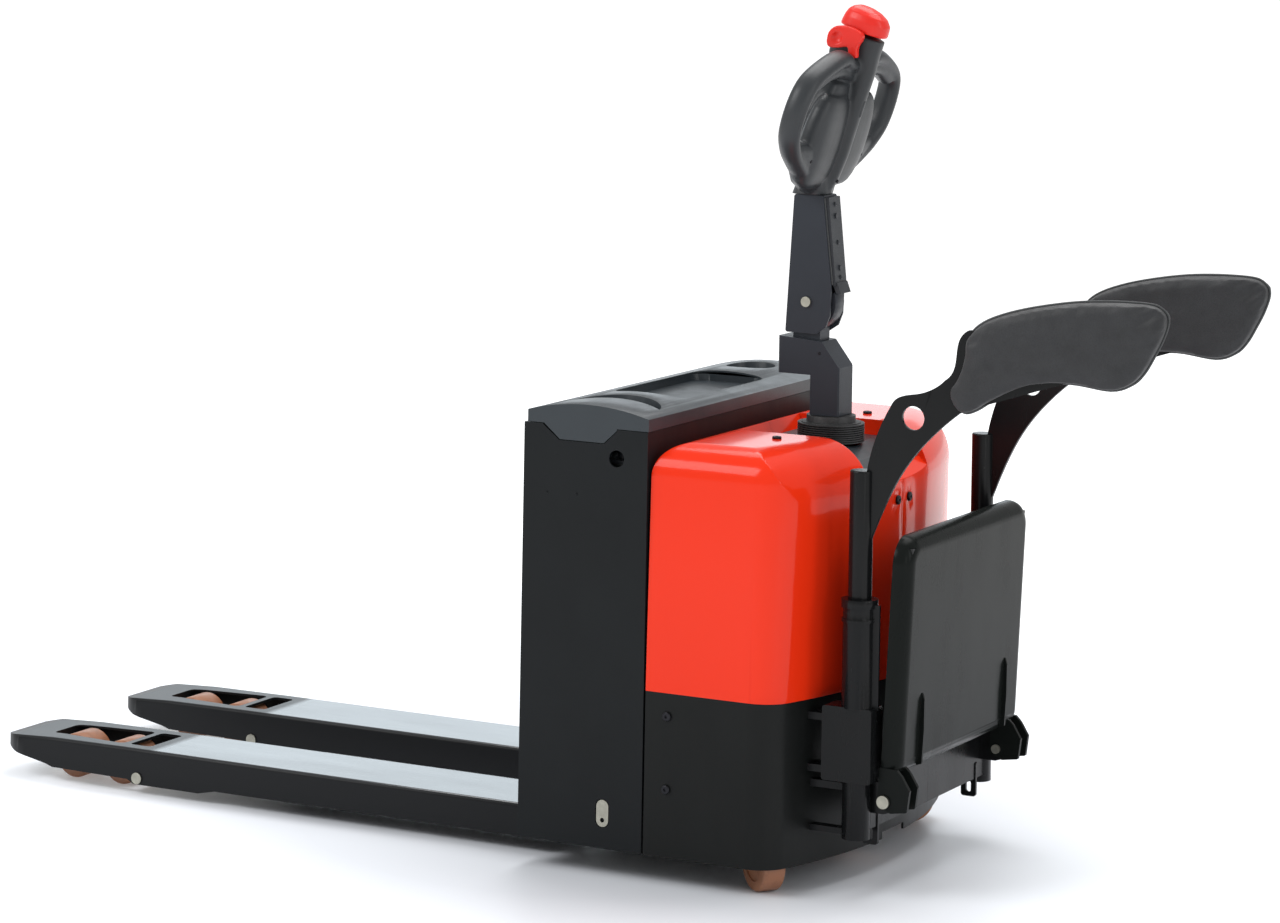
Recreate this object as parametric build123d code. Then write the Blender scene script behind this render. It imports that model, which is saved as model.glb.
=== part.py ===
"""Rider electric pallet truck: fold-up platform, two padded guard arms and a steering tiller.

Design frame, in millimetres: X = 0 at the fork side of the battery box, forks towards -X and
operator towards +X, Y = 0 on the mid-plane, Z = 0 on the floor.  Left is -Y, the left hand of a
person who looks towards the forks.  Every part is written in the row frame, which is the design
frame moved along X so that its origin is the bottom centre of the whole truck.
"""
import os
from math import cos, radians, sin, sqrt

from build123d import *

# ---- driving dimensions -------------------------------------------------------------------
GUARD_TIP_X = 1120.0        # rear end of the guard pads
FORK_LENGTH = 1150.0
FORK_WIDTH = 170.0
FORK_SPREAD = 560.0         # over the outer sides of both forks
FORK_TOP = 82.0
FORK_BOTTOM = 25.0
FORK_WALL = 5.0

TRUCK_WIDTH = 734.0
BOX_LENGTH = 238.0
BOX_BOTTOM = 48.0
BOX_TOP = 760.0
BOX_WALL = 5.0
LID_EDGE = 782.0
LID_CROWN = 798.0

BODY_FRONT = 242.0          # front edge of skirt and hood
SKIRT_BOTTOM = 48.0
SKIRT_TOP = 325.0
REAR_X = 541.0              # rear of the skirt on the mid-plane
REAR_SAG = 49.0             # how far the rear curve falls forward at REAR_SAG_Y
REAR_SAG_Y = 312.0
CORNER_R = 58.0
SKIRT_SCREW_X = 283.5
SKIRT_SCREW_Z = (163.0, 286.0)
SHELL = 4.0
HOOD_TOP = 742.0
HOOD_EDGE_R = 56.0
HOOD_CORNER_R = 76.0        # plan radius of the rear corners at the top
HOOD_REAR_R = 94.0          # larger rounding of the rear top edge
HOOD_REAR_X = 455.0         # where it starts, on the mid-plane
HOOD_DRAFT = 9.0            # how far the hood's sides lean in over its height
HOOD_FOOT_BULGE = 3.0       # rear of the hood beyond the skirt, at its foot
HOOD_CROWN_BULGE = 9.0      # and at its top
HOOD_SCREW_Z = 630.0
TROUGH_HALF = 125.0         # half width of the hollow round the steering column

LOAD_WHEEL_R = 40.0
LOAD_WHEEL_W = 70.0
CARRIER_X = -840.0          # pivot pin of the load-wheel carrier
CARRIER_Z = 29.0
BOGIE_X = -961.0            # centre pin of the twin-wheel bogie
BOGIE_Z = LOAD_WHEEL_R
WHEEL_PITCH = 104.0
CRANK_R = 30.0
ROD_Z = 56.0
ENTRY_X = -1080.0
ENTRY_Z = 40.0
ENTRY_R = 14.0
LID_HINGE_X = 9.0
LID_HINGE_Z = 766.0
LID_EAR_Y = (248.4, 301.6)  # middle planes of the hinge ears on each side

ROCKER_X = 163.0
ROCKER_Z = 96.0
ROCKER_ARM = 42.0
ANCHOR_X = 300.0            # chassis pin that the rocker's long arms hook over
ANCHOR_Z = 156.0
LONG_ARM_Y = 130.0

STEER_X = 409.0
DRIVE_R = 115.0
DRIVE_W = 75.0
TILLER_X = 371.0
TILLER_Z = 960.0
TILLER_HALF = 28.5
TILLER_ARM_TOP = 1146.0
HEAD_X = 374.0              # foot of the tiller head
HEAD_Z = 1168.0
HEAD_LEAN = 18.2            # degrees towards the operator

THROTTLE_X = -8.0           # pivot of the thumb rocker, in head coordinates
THROTTLE_Z = 264.0
SWITCH_X = 34.0             # pivot of the lift switch, in head coordinates
SWITCH_Z = 150.0

GUARD_X = 587.0
GUARD_Y = 261.0
GUARD_R = 20.0
GUARD_TOP = 715.0
ARM_T = 8.0
PAD_T = 42.0
GUARD_TOE = 1.5             # degrees, both arms point slightly inwards

PLATFORM_PIVOT_X = 638.0
PLATFORM_PIVOT_Z = 166.0
PLATFORM_HALF = 265.0
PLATFORM_T = 31.0
PLATFORM_LEAN = 2.5         # degrees

CASTOR_X = 418.0
CASTOR_Y = 286.0
CASTOR_R = 45.0
CASTOR_W = 40.0
CASTOR_TRAIL = 24.0
CASTOR_TOE = 38.0           # degrees, trail direction at rest

RUNNING = 0.05              # radial clearance of a turning fit
FORK_Y = (FORK_SPREAD - FORK_WIDTH) / 2
HALF_W = TRUCK_WIDTH / 2
ORIGIN_X = (GUARD_TIP_X - FORK_LENGTH) / 2
CRANK_ANGLE = 55.7          # degrees above the horizontal, at rest
ROCKER_SWING = 47.2         # degrees over the whole lift


# ---- helpers ------------------------------------------------------------------------------
def block(x0, x1, y0, y1, z0, z1):
    """A block given by its two limits on each axis."""
    centre = Pos((x0 + x1) / 2, (y0 + y1) / 2, (z0 + z1) / 2)
    return centre * Box(x1 - x0, y1 - y0, z1 - z0)


def bar_y(x, z, r, y0, y1):
    """A round bar along Y."""
    return Pos(x, (y0 + y1) / 2, z) * Rot(90, 0, 0) * Cylinder(r, y1 - y0)


def bar_x(y, z, r, x0, x1):
    """A round bar along X."""
    return Pos((x0 + x1) / 2, y, z) * Rot(0, 90, 0) * Cylinder(r, x1 - x0)


def bar_z(x, y, r, z0, z1):
    """A round bar along Z."""
    return Pos(x, y, (z0 + z1) / 2) * Cylinder(r, z1 - z0)


def plate_xz(points, y0, y1, corner=0.0):
    """A plate between two Y planes, with its outline given in X and Z."""
    face = make_face(Polyline(*points, close=True))
    if corner:
        face = fillet(face.vertices(), corner)
    return extrude(Plane.XZ.offset(-y1) * face, y1 - y0)


def plate_xy(points, z0, z1, corner=0.0):
    """A plate between two Z planes, with its outline given in X and Y."""
    face = make_face(Polyline(*points, close=True))
    if corner:
        face = fillet(face.vertices(), corner)
    return extrude(Pos(0, 0, z0) * face, z1 - z0)


def slot_xz(x0, z0, x1, z1, r, y0, y1):
    """A round-ended bar or slot along Y, from one X-Z centre to another."""
    dx, dz = x1 - x0, z1 - z0
    length = sqrt(dx * dx + dz * dz)
    nx, nz = -dz / length * r, dx / length * r
    corners = [(x0 + nx, z0 + nz), (x1 + nx, z1 + nz), (x1 - nx, z1 - nz), (x0 - nx, z0 - nz)]
    body = plate_xz(corners, y0, y1)
    return body + bar_y(x0, z0, r, y0, y1) + bar_y(x1, z1, r, y0, y1)


def other_side(shape):
    """The same shape on the right-hand side."""
    return mirror(shape, about=Plane.XZ)


def both_sides(shape):
    return [shape, other_side(shape)]


# ---- plan outline shared by skirt and hood ---------------------------------------------------
def rear_x(y, bulge=0.0):
    """X of the rear curve at a distance y from the mid-plane."""
    radius = (REAR_SAG_Y ** 2 + REAR_SAG ** 2) / (2 * REAR_SAG)
    return REAR_X + bulge - radius + sqrt(radius * radius - y * y)


def body_face(inset, front=BODY_FRONT, bulge=0.0, corner=CORNER_R):
    """Plan outline of the power unit, moved inwards by inset."""
    half = HALF_W - inset
    corner_x = rear_x(half) + bulge - inset
    sides = Polyline((corner_x, -half), (front, -half), (front, half), (corner_x, half))
    rear = ThreePointArc((corner_x, half), (REAR_X + bulge - inset, 0), (corner_x, -half))
    face = make_face(sides + rear)
    corners = [v for v in face.vertices() if v.X > front + 1]
    return fillet(corners, corner - inset)


def body_column(inset, z0, z1, front=BODY_FRONT):
    return extrude(Pos(0, 0, z0) * body_face(inset, front), z1 - z0)


# ---- chassis and covers ---------------------------------------------------------------------
def chassis_frame():
    """Welded frame: bulkhead, drive plate, floor rails, castor shelves and rocker lugs."""
    bulkhead = block(243, 249, -350, 350, 60, 688)
    for y in both_y(LONG_ARM_Y):
        bulkhead -= block(240, 252, y - 14, y + 14, 95, 225)
    for y in both_y(200):
        bulkhead -= block(240, 252, y - 28, y + 28, 380, 580)
    bulkhead -= block(240, 252, -45, 45, 500, 740)
    for side in (-1, 1):
        bulkhead -= block(240, 252, *ordered(side * 250, side * 335), 260, 670)
        bulkhead -= block(240, 252, *ordered(side * 344, side * 360), SKIRT_TOP - 3, 700)
    drive_plate = body_column(8, 300, 310, 249) - bar_z(STEER_X, 0, 112, 295, 315)
    frame = bulkhead + drive_plate
    for side in (-1, 1):
        frame += block(249, 415, *ordered(side * 352, side * 358), 120, 300)
        frame += block(350, 420, *ordered(side * 225, side * 352), 122, 128)
        frame += block(350, 420, *ordered(side * 219, side * 225), 122, 300)
        frame += block(350, 356, *ordered(side * 225, side * 352), 128, 300)
        for y in (116, 141):
            lug = plate_xz([(249, 130), (249, 215), (300, 175), (316, 156), (300, 138)],
                           *ordered(side * y, side * (y + 5)))
            frame += lug
        frame += block(249, 265, *ordered(side * 100, side * 116), 130, 300)
    for y in both_y(LONG_ARM_Y):
        frame += bar_y(ANCHOR_X, ANCHOR_Z, 8, y - 16, y + 16)
    for y in both_y(200):
        frame += bar_z(264, y, 12.5, 310, 680)
        frame += block(249, 276, y - 15, y + 15, 678, 688)
    for y in both_y(CASTOR_Y):
        frame += bar_z(CASTOR_X, y, 34, 113, 122)
        frame -= bar_z(CASTOR_X, y, 10 + RUNNING, 105, 135)
    frame += block(300, 470, -358, -352, 200, 300) & body_column(8, 200, 300, 249)
    frame += block(300, 470, 352, 358, 200, 300) & body_column(8, 200, 300, 249)
    for z in SKIRT_SCREW_Z:
        frame -= bar_y(SKIRT_SCREW_X, z, 4.2, -400, 400)
    return frame


def skirt_cover():
    """Lower cover, a bent plate round both sides and the rear."""
    shell = body_column(0, SKIRT_BOTTOM, SKIRT_TOP) - body_column(SHELL, 0, 400, 200)
    shell += body_column(0.5, SKIRT_TOP - 6, SKIRT_TOP - 2) - body_column(16, 0, 400, 200)
    shell -= block(450, 620, -45, 45, 40, 60)
    for z in SKIRT_SCREW_Z:
        shell -= bar_y(SKIRT_SCREW_X, z, 4.2, -400, 400)
    return shell


def trough_floor():
    """X and Z of the floor line of the hollow round the steering column."""
    return [(300, 716), (452, 712), (500, 697), (522, 686), (552, 660)]


def hood_block(inset):
    """Outer form of the hood, or with an inset the form of its inside."""
    front = BODY_FRONT + inset
    foot = Pos(0, 0, SKIRT_TOP) * body_face(inset, front, HOOD_FOOT_BULGE)
    crown_face = body_face(inset + HOOD_DRAFT, front, HOOD_CROWN_BULGE + HOOD_DRAFT, HOOD_CORNER_R)
    crown = Pos(0, 0, HOOD_TOP - inset) * crown_face
    body = loft([foot, crown])
    rim = body.faces().sort_by(Axis.Z)[-1].edges()
    body = fillet(rim, HOOD_EDGE_R - inset) - rear_rounding(HOOD_REAR_R - inset)
    floor = [(x - inset, z - inset) for x, z in trough_floor()]
    trough = [(286 - inset, 900), (288 - inset, HOOD_TOP - inset)] + floor + [(650, 656), (650, 900)]
    return body - plate_xz(trough, -TROUGH_HALF - inset, TROUGH_HALF + inset)


def rear_rounding(radius):
    """What is cut off above the rear top edge, turned about the centre of the rear curve."""
    z0 = HOOD_TOP - HOOD_REAR_R
    x1 = HOOD_REAR_X + radius
    arc = ThreePointArc((HOOD_REAR_X, z0 + radius), (HOOD_REAR_X + radius * sqrt(0.5), z0 + radius * sqrt(0.5)),
                        (x1, z0))
    rest = Polyline((x1, z0), (x1 + 60, z0), (x1 + 60, z0 + 200), (HOOD_REAR_X, z0 + 200),
                    (HOOD_REAR_X, z0 + radius))
    curve_r = (REAR_SAG_Y ** 2 + REAR_SAG ** 2) / (2 * REAR_SAG)
    axis = Axis((REAR_X - curve_r, 0, 0), (0, 0, 1))
    return revolve(Plane.XZ * make_face(arc + rest), axis)


def hood_rear_x(y, z):
    """X of the hood's rear face at a distance y from the mid-plane and a height z."""
    share = (z - SKIRT_TOP) / (HOOD_TOP - SKIRT_TOP)
    return rear_x(y) + HOOD_FOOT_BULGE + share * (HOOD_CROWN_BULGE - HOOD_FOOT_BULGE) + 0.2


def hood_shells():
    """Two glossy half shells that meet on the mid-plane."""
    inner = hood_block(SHELL) + block(BODY_FRONT - 10, BODY_FRONT + SHELL + 0.1, -345, 345, 300, 690)
    shell = hood_block(0) - inner - block(200, 600, -400, 400, 300, SKIRT_TOP)
    shell -= block(BODY_FRONT - 10, BODY_FRONT + 12, -36, 36, 300, 712)
    shell -= bar_z(STEER_X, 0, 54, 600, 800)
    for y in (-24, 24):
        shell -= bar_x(y, HOOD_SCREW_Z, 4.5, 500, 560)
    for y in both_y(188):
        shell -= bar_z(394, y, 4.5, 700, 800)
    left = shell & block(200, 600, -400, -0.4, 300, 800)
    return left, other_side(left)


def hood_deck():
    """Dark deck plate in the hood's trough, round the steering column."""
    lift, t = 0.4, 3.0
    top = [(303, 716)] + trough_floor()[1:4]
    profile = [(x, z + lift) for x, z in top] + [(x, z + lift + t) for x, z in reversed(top)]
    plate = plate_xz(profile, -119, 119)
    return plate - bar_z(STEER_X, 0, 50, 680, 760)


def button_head_screw(length):
    """Socket screw along +Z with its head at the top and the seat at Z = 0."""
    head = Cylinder(8, 4.5, align=(Align.CENTER, Align.CENTER, Align.MIN))
    head = fillet(head.edges().sort_by(Axis.Z)[-1], 2.2)
    socket = extrude(Pos(0, 0, 2.2) * RegularPolygon(3, 6), 4)
    shank = Pos(0, 0, -length) * Cylinder(4, length, align=(Align.CENTER, Align.CENTER, Align.MIN))
    return head - socket + shank


def cover_screws():
    """Screws of skirt and hood."""
    screw = button_head_screw(16)
    group = []
    for side in (-1, 1):
        for z in SKIRT_SCREW_Z:
            group.append(Pos(SKIRT_SCREW_X, side * HALF_W, z) * Rot(side * -90, 0, 0) * screw)
        group.append(Pos(394, side * 188, HOOD_TOP) * screw)
        group.append(Pos(hood_rear_x(24, HOOD_SCREW_Z), side * 24, HOOD_SCREW_Z) * Rot(0, 90, 0) * screw)
    return group


def both_y(y):
    return (-y, y)


def ordered(a, b):
    return (min(a, b), max(a, b))


# ---- power pack inside the hood ----------------------------------------------------------------
def pump_motor():
    """Electric motor of the hydraulic pump, upright beside the tank, with its end cap."""
    x, y = 340, -205
    body = bar_z(x, y, 46, 330, 470)
    cap = fillet(bar_z(x, y, 42, 470, 490).edges().sort_by(Axis.Z)[-1], 6)
    foot = block(x - 42, x + 42, y - 42, y + 42, 310.2, 330)
    studs = bar_z(x - 12, y, 5, 488, 504) + bar_z(x + 12, y, 5, 488, 504)
    return body + cap + foot + studs


def oil_tank():
    """Hydraulic tank with its filler cap and outlet block."""
    tank = fillet(block(395, 482, -260, -125, 312, 480).edges().filter_by(Axis.Z), 12)
    filler = bar_z(440, -190, 18, 480, 500)
    valve = block(386.5, 395, -215, -180, 330, 380)
    return tank + filler + valve - bar_z(440, -190, 4, 495, 505)


def motor_controller():
    """Drive controller: finned base, sealed lid and five terminal studs."""
    case = block(300, 350, 120, 330, 330, 520)
    for z in range(345, 515, 20):
        case -= block(290, 312, 110, 340, z, z + 8)
    studs = [bar_x(y, 350, 5, 350, 366) for y in range(145, 326, 40)]
    feet = block(312, 344, 130, 320, 310.2, 330)
    for stud in studs:
        case += stud
    return case + feet


def lift_cylinder():
    """Single-acting barrel that stands on the drive plate."""
    barrel = bar_z(286, 0, 27, 318, 500)
    gland = bar_z(286, 0, 30, 500, 516)
    foot = bar_z(286, 0, 32, 310.2, 318)
    bore = bar_z(286, 0, 16 + RUNNING, 340, 520)
    return barrel + gland + foot - bore


def lift_rod():
    """Chromed piston rod."""
    return bar_z(286, 0, 16, 345, 572)


def bearing_outer_ring():
    """Outer ring of the steering bearing, bolted under the drive plate."""
    ring = bar_z(STEER_X, 0, 126, 282, 299.8) - bar_z(STEER_X, 0, 108, 270, 305)
    return ring


# ---- lift frame ---------------------------------------------------------------------------------
def battery_box():
    """Open box that holds the battery and carries the forks."""
    box = block(0, BOX_LENGTH, -HALF_W, HALF_W, BOX_BOTTOM, BOX_TOP)
    box -= block(BOX_WALL, BOX_LENGTH - BOX_WALL, -HALF_W + BOX_WALL, HALF_W - BOX_WALL, 0, 900)
    box += block(BOX_WALL, BOX_LENGTH - BOX_WALL, -HALF_W + BOX_WALL, HALF_W - BOX_WALL, 166, 172)
    notch = [(36, 765), (36, 759), (68, 734), (154, 734), (179, 757), (179, 765)]
    box -= plate_xz(notch, -400, 400)
    box -= bar_y(179, 711, 14.5, -400, 400)
    box -= slot_xz(ROCKER_X, 96, ROCKER_X, 119, 13, -400, 400)
    for y in both_y(LONG_ARM_Y):
        box -= block(BOX_LENGTH - 10, BOX_LENGTH + 5, y - 12, y + 12, 40, 160)
    for y in both_y(FORK_Y):
        box -= block(-5, 10, y - 17, y + 17, 40, 74)
    for y in both_y(340):
        side = 1 if y > 0 else -1
        boss = bar_y(ROCKER_X, ROCKER_Z, 24, *ordered(side * 334, side * (HALF_W - BOX_WALL)))
        box += boss - bar_y(ROCKER_X, ROCKER_Z, 15 + RUNNING, *ordered(side * 300, side * 360))
    for y in both_y(200):
        guide = block(BOX_LENGTH, 284, y - 20, y + 20, 400, 440)
        box += guide - bar_z(264, y, 12.5 + RUNNING, 390, 450)
    box += block(BOX_LENGTH, 312, -30, 30, 572, 586)
    for y in both_y(30):
        box += plate_xz([(BOX_LENGTH, 520), (BOX_LENGTH, 572), (300, 572)],
                        *ordered(y, y * 0.8))
    for side in (-1, 1):
        for ear_y in LID_EAR_Y:
            span = ordered(side * (ear_y - 1.5), side * (ear_y + 1.5))
            box += slot_xz(LID_HINGE_X, 742, LID_HINGE_X, LID_HINGE_Z, 4.5, *span)
            box += block(3, 8, *span, 740, 758)
    return box - bar_y(LID_HINGE_X, LID_HINGE_Z, 1.5 + RUNNING, -330, 330)


def shaft_retainers():
    """Bright locking plates over the ends of the rocker shaft."""
    plate = slot_xz(ROCKER_X, 96, ROCKER_X, 119, 11.5, -HALF_W + 0.6, -HALF_W + 3.6)
    plate -= bar_y(ROCKER_X, 96, 4, -400, -300)
    return both_sides(plate)


def battery_tray():
    """Steel tray of the traction battery."""
    tray = block(12, 226, -350, 350, 172.2, 700) - block(15, 223, -347, 347, 176, 800)
    for y in both_y(240):
        tray -= block(0, 240, y - 40, y + 40, 665, 690)
    return tray


def battery_cells():
    """Twelve cells with vent plugs, joined in a row by lead links."""
    group = []
    for row in range(2):
        for column in range(6):
            x0, y0 = 17 + row * 102, -344 + column * 115
            cell = block(x0, x0 + 100, y0, y0 + 112, 176.5, 705)
            plug = bar_z(x0 + 50, y0 + 56, 14, 705, 714)
            poles = bar_z(x0 + 50, y0 + 22, 8, 705, 716) + bar_z(x0 + 50, y0 + 90, 8, 705, 716)
            group.append(cell + plug + poles)
    return group


def along_y(face, y0, y1):
    """Extrude a face drawn in X and Z between two Y planes."""
    return extrude(Plane.XZ.offset(-y1) * face, y1 - y0)


def under_arch(inset, foot):
    """X-Z face below the lid's arch, moved inwards by inset and reaching down to foot."""
    x0, x1 = 6 + inset, 239 - inset
    edge = LID_EDGE - inset
    arc = ThreePointArc((x0, edge), ((x0 + x1) / 2, LID_CROWN - inset), (x1, edge))
    return make_face(arc + Polyline((x1, edge), (x1, foot), (x0, foot), (x0, edge)))


def battery_lid():
    """Arched cover with a slot, a tray, a cup recess and hinge knuckles."""
    half = HALF_W - 1.0
    solid = along_y(under_arch(0, 761), -half, half)
    lid = solid - along_y(under_arch(3, 700), -half - 1, half + 1)
    for side in (-1, 1):
        end = solid & block(0, 300, *ordered(side * (half - 4), side * half), 700, 900)
        tab = [(37.5, 761), (68.8, 735.2), (153.2, 735.2), (178, 758), (178, 765), (37.5, 765)]
        lid += end + plate_xz(tab, *ordered(side * (half - 4), side * half))
    recess = block(60, 200, -165, 175, 778, 810)
    recess = fillet(recess.edges().filter_by(Axis.Z), 26)
    pan = block(56, 204, -169, 179, 775, 790)
    cup = bar_z(116, 283, 45, 772, 810)
    cup_shell = bar_z(116, 283, 48, 769, 795)
    lid += (pan + cup_shell + lid_slot(4, 774, 796)) & along_y(under_arch(1, 700), -360, 360)
    lid = lid - recess - cup - lid_slot(0, 777, 810)
    for side in (-1, 1):
        for ear_y in LID_EAR_Y:
            span = ordered(side * (ear_y - 2.1), side * (ear_y + 2.1))
            lid -= bar_y(LID_HINGE_X, LID_HINGE_Z, 5.2, *span) + block(4, 14, *span, 755, 766)
        inner, outer = LID_EAR_Y
        lid += bar_y(LID_HINGE_X, LID_HINGE_Z, 2.9, *ordered(side * (inner + 2.1), side * (outer - 2.1)))
        lid += bar_y(LID_HINGE_X, LID_HINGE_Z, 1.5, *ordered(side * (inner - 1.5), side * (outer + 1.5)))
    return lid


def lid_slot(grow, z0, z1):
    """Crescent-shaped slot near the left end of the lid, made larger by grow."""
    far = ThreePointArc((46 - grow, -284), (122, -214 + grow), (216 + grow, -282))
    near = ThreePointArc((216 + grow, -282), (135, -262 - grow), (46 - grow, -284))
    return extrude(Pos(0, 0, z0) * make_face(far + near), z1 - z0)


def fork(side):
    """Channel section fork with a wheel window and a cast nose."""
    y = side * FORK_Y
    half = FORK_WIDTH / 2
    profile = [(0, FORK_BOTTOM), (0, FORK_TOP), (-860, FORK_TOP), (-1028, FORK_TOP - 1), (-1115, 77),
               (-1142, 73), (-1150, 67), (-1150, 57), (-1112, 45), (-1043, 32), (-1028, 27), (-862, 25),
               (-848, 17.5),
               (-708, 17.5), (-672, FORK_BOTTOM)]
    body = plate_xz(profile, y - half, y + half)
    top = [e for e in body.edges() if e.length > 160 and e.center().Z > FORK_TOP - 2 and e.center().X > -1020
           and abs(abs(e.center().Y - y) - half) < 1]
    body = fillet(top, 7)
    plan = [(0, y - half), (-1150, y - half), (-1150, y + half), (0, y + half)]
    outline = make_face(Polyline(*plan, close=True))
    outline = fillet([v for v in outline.vertices() if v.X < -1000], 58)
    body = body & extrude(outline, 200)
    inner = half - FORK_WALL
    body -= block(-1057, -8, y - inner, y + inner, 0, FORK_TOP - FORK_WALL)
    window = [(-1056, y - 40), (-890, y - 56), (-890, y + 56), (-1056, y + 40)]
    body -= plate_xy(window, 70, 100, 12)
    body -= plate_xy([(-877, y - 55), (-832, y - 55), (-832, y + 55), (-877, y + 55)], 70, 100, 9)
    body -= block(-20, 5, y - 17, y + 17, 40, 74)
    body -= bar_y(CARRIER_X, CARRIER_Z, 8, y - 100, y + 100)
    pocket = block(ENTRY_X - 17, ENTRY_X + 17, y - 34, y + 34, 0, ENTRY_Z + 17)
    body -= pocket
    body += bar_y(ENTRY_X, ENTRY_Z, 5, y - 40, y + 40) & block(-1200, -1000, -400, 400, 45, 90)
    for sign in (-1, 1):
        body += slot_xz(ENTRY_X, ENTRY_Z, ENTRY_X, ENTRY_Z + 20, 8, *ordered(y + sign * 30, y + sign * 36))
    body += bar_y(ENTRY_X, ENTRY_Z, 4, y - 33, y + 33)
    return body


def entry_roller(side):
    """Small nylon roller under the fork nose that eases pallet entry."""
    y = side * FORK_Y
    roller = bar_y(ENTRY_X, ENTRY_Z, ENTRY_R, y - 28, y + 28)
    return roller - bar_y(ENTRY_X, ENTRY_Z, 4 + RUNNING, y - 40, y + 40)


def carrier_pins():
    """Pivot pins of both wheel carriers, through the fork sides."""
    pins = []
    for y in both_y(FORK_Y):
        pin = bar_y(CARRIER_X, CARRIER_Z, 7.95, y - 87, y + 87)
        for sign in (-1, 1):
            pin += bar_y(CARRIER_X, CARRIER_Z, 10.5, *ordered(y + sign * 85.1, y + sign * 88))
        pins.append(pin)
    return pins


def crank_point(angle=CRANK_ANGLE):
    """X and Z of the carrier's crank pin at rest."""
    return (CARRIER_X + CRANK_R * cos(radians(angle)), CARRIER_Z + CRANK_R * sin(radians(angle)))


def carrier(side):
    """Swinging frame of the load wheels: two cheeks, a cross tube and a crank ear."""
    y = side * FORK_Y
    px, pz = crank_point()
    body = bar_y(CARRIER_X, CARRIER_Z, 14, y - 57, y + 57)
    for sign in (-1, 1):
        cheek = slot_xz(CARRIER_X, CARRIER_Z, BOGIE_X, BOGIE_Z, 13, *ordered(y + sign * 50, y + sign * 57))
        body += cheek
    body += slot_xz(CARRIER_X, CARRIER_Z, px, pz, 9, y - 6, y + 6)
    body += bar_y(px, pz, 5, y - 14, y + 14)
    body -= bar_y(CARRIER_X, CARRIER_Z, 8, y - 80, y + 80)
    body += bar_y(BOGIE_X, BOGIE_Z, 7, y - 57, y + 57)
    return body


def bogie(side):
    """Rocking pair of plates that carries two wheels."""
    y = side * FORK_Y
    half = WHEEL_PITCH / 2
    body = bar_y(BOGIE_X, BOGIE_Z, 11.5, y - 46, y + 46)
    for sign in (-1, 1):
        span = ordered(y + sign * 39, y + sign * 46)
        body += slot_xz(BOGIE_X - half, BOGIE_Z, BOGIE_X + half, BOGIE_Z, 14, *span)
    for x in (BOGIE_X - half, BOGIE_X + half):
        body += bar_y(x, BOGIE_Z, 8, y - 48, y + 48)
    return body - bar_y(BOGIE_X, BOGIE_Z, 7 + RUNNING, y - 60, y + 60)


def load_wheel(side, place):
    """Polyurethane wheel on a steel core; place is -1 at the fork tip and 1 behind it."""
    y = side * FORK_Y
    x = BOGIE_X + place * WHEEL_PITCH / 2
    half = LOAD_WHEEL_W / 2
    wheel = bar_y(x, BOGIE_Z, LOAD_WHEEL_R, y - half, y + half)
    wheel = chamfer(wheel.edges().filter_by(GeomType.CIRCLE), 4)
    for sign in (-1, 1):
        face = ordered(y + sign * (half - 3), y + sign * (half + 1))
        wheel -= bar_y(x, BOGIE_Z, 24, *face)
    return wheel - bar_y(x, BOGIE_Z, 8 + RUNNING, y - half - 5, y + half + 5)


def rocker_pin():
    """X and Z of the rocker's push-rod pin at rest."""
    tilt = radians(ROCKER_SWING / 2)
    return (ROCKER_X + ROCKER_ARM * sin(tilt), ROCKER_Z - ROCKER_ARM * cos(tilt))


def push_rod(side):
    """Rod through the fork, with a clevis at each end."""
    y = side * FORK_Y
    front_x = crank_point()[0]
    rear_x_pin = rocker_pin()[0]
    body = bar_x(y, ROD_Z, 9, front_x + 27, rear_x_pin - 26)
    for x0, x1, pin in ((front_x - 13, front_x + 29, front_x), (rear_x_pin - 28, rear_x_pin + 13, rear_x_pin)):
        clevis = block(x0, x1, y - 14, y + 14, ROD_Z - 11, ROD_Z + 13)
        if pin == front_x:
            gap = block(x0 - 1, pin + 18.5, y - 7, y + 7, 0, 100)
        else:
            gap = block(pin - 16, x1 + 1, y - 7, y + 7, 0, 100)
        body += clevis - gap
        body -= bar_y(pin, ROD_Z, 9, y - 20, y + 20)
    return body


def lift_rocker():
    """Cross shaft with push-rod arms and two long arms to the chassis."""
    px, pz = rocker_pin()
    body = bar_y(ROCKER_X, ROCKER_Z, 15, -359, 359)
    reach_x = ANCHOR_X - ROCKER_X
    reach_z = ANCHOR_Z - ROCKER_Z
    reach = sqrt(reach_x ** 2 + reach_z ** 2)
    ux, uz = reach_x / reach, reach_z / reach
    for y in both_y(FORK_Y):
        body += slot_xz(ROCKER_X, ROCKER_Z, px, pz, 10, y - 6, y + 6)
        body += bar_y(px, pz, 5, y - 14, y + 14)
        body += bar_y(ROCKER_X, ROCKER_Z, 21, y - 12, y + 12)
    near, far = reach - 15.0, reach + 1.5
    for y in both_y(LONG_ARM_Y):
        arm = slot_xz(ROCKER_X, ROCKER_Z, ROCKER_X + ux * far, ROCKER_Z + uz * far, 17, y - 6, y + 6)
        hole = slot_xz(ROCKER_X + ux * near, ROCKER_Z + uz * near,
                       ROCKER_X + ux * far, ROCKER_Z + uz * far, 10, y - 10, y + 10)
        body += arm - hole
        body += bar_y(ROCKER_X, ROCKER_Z, 21, y - 12, y + 12)
    return body


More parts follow.
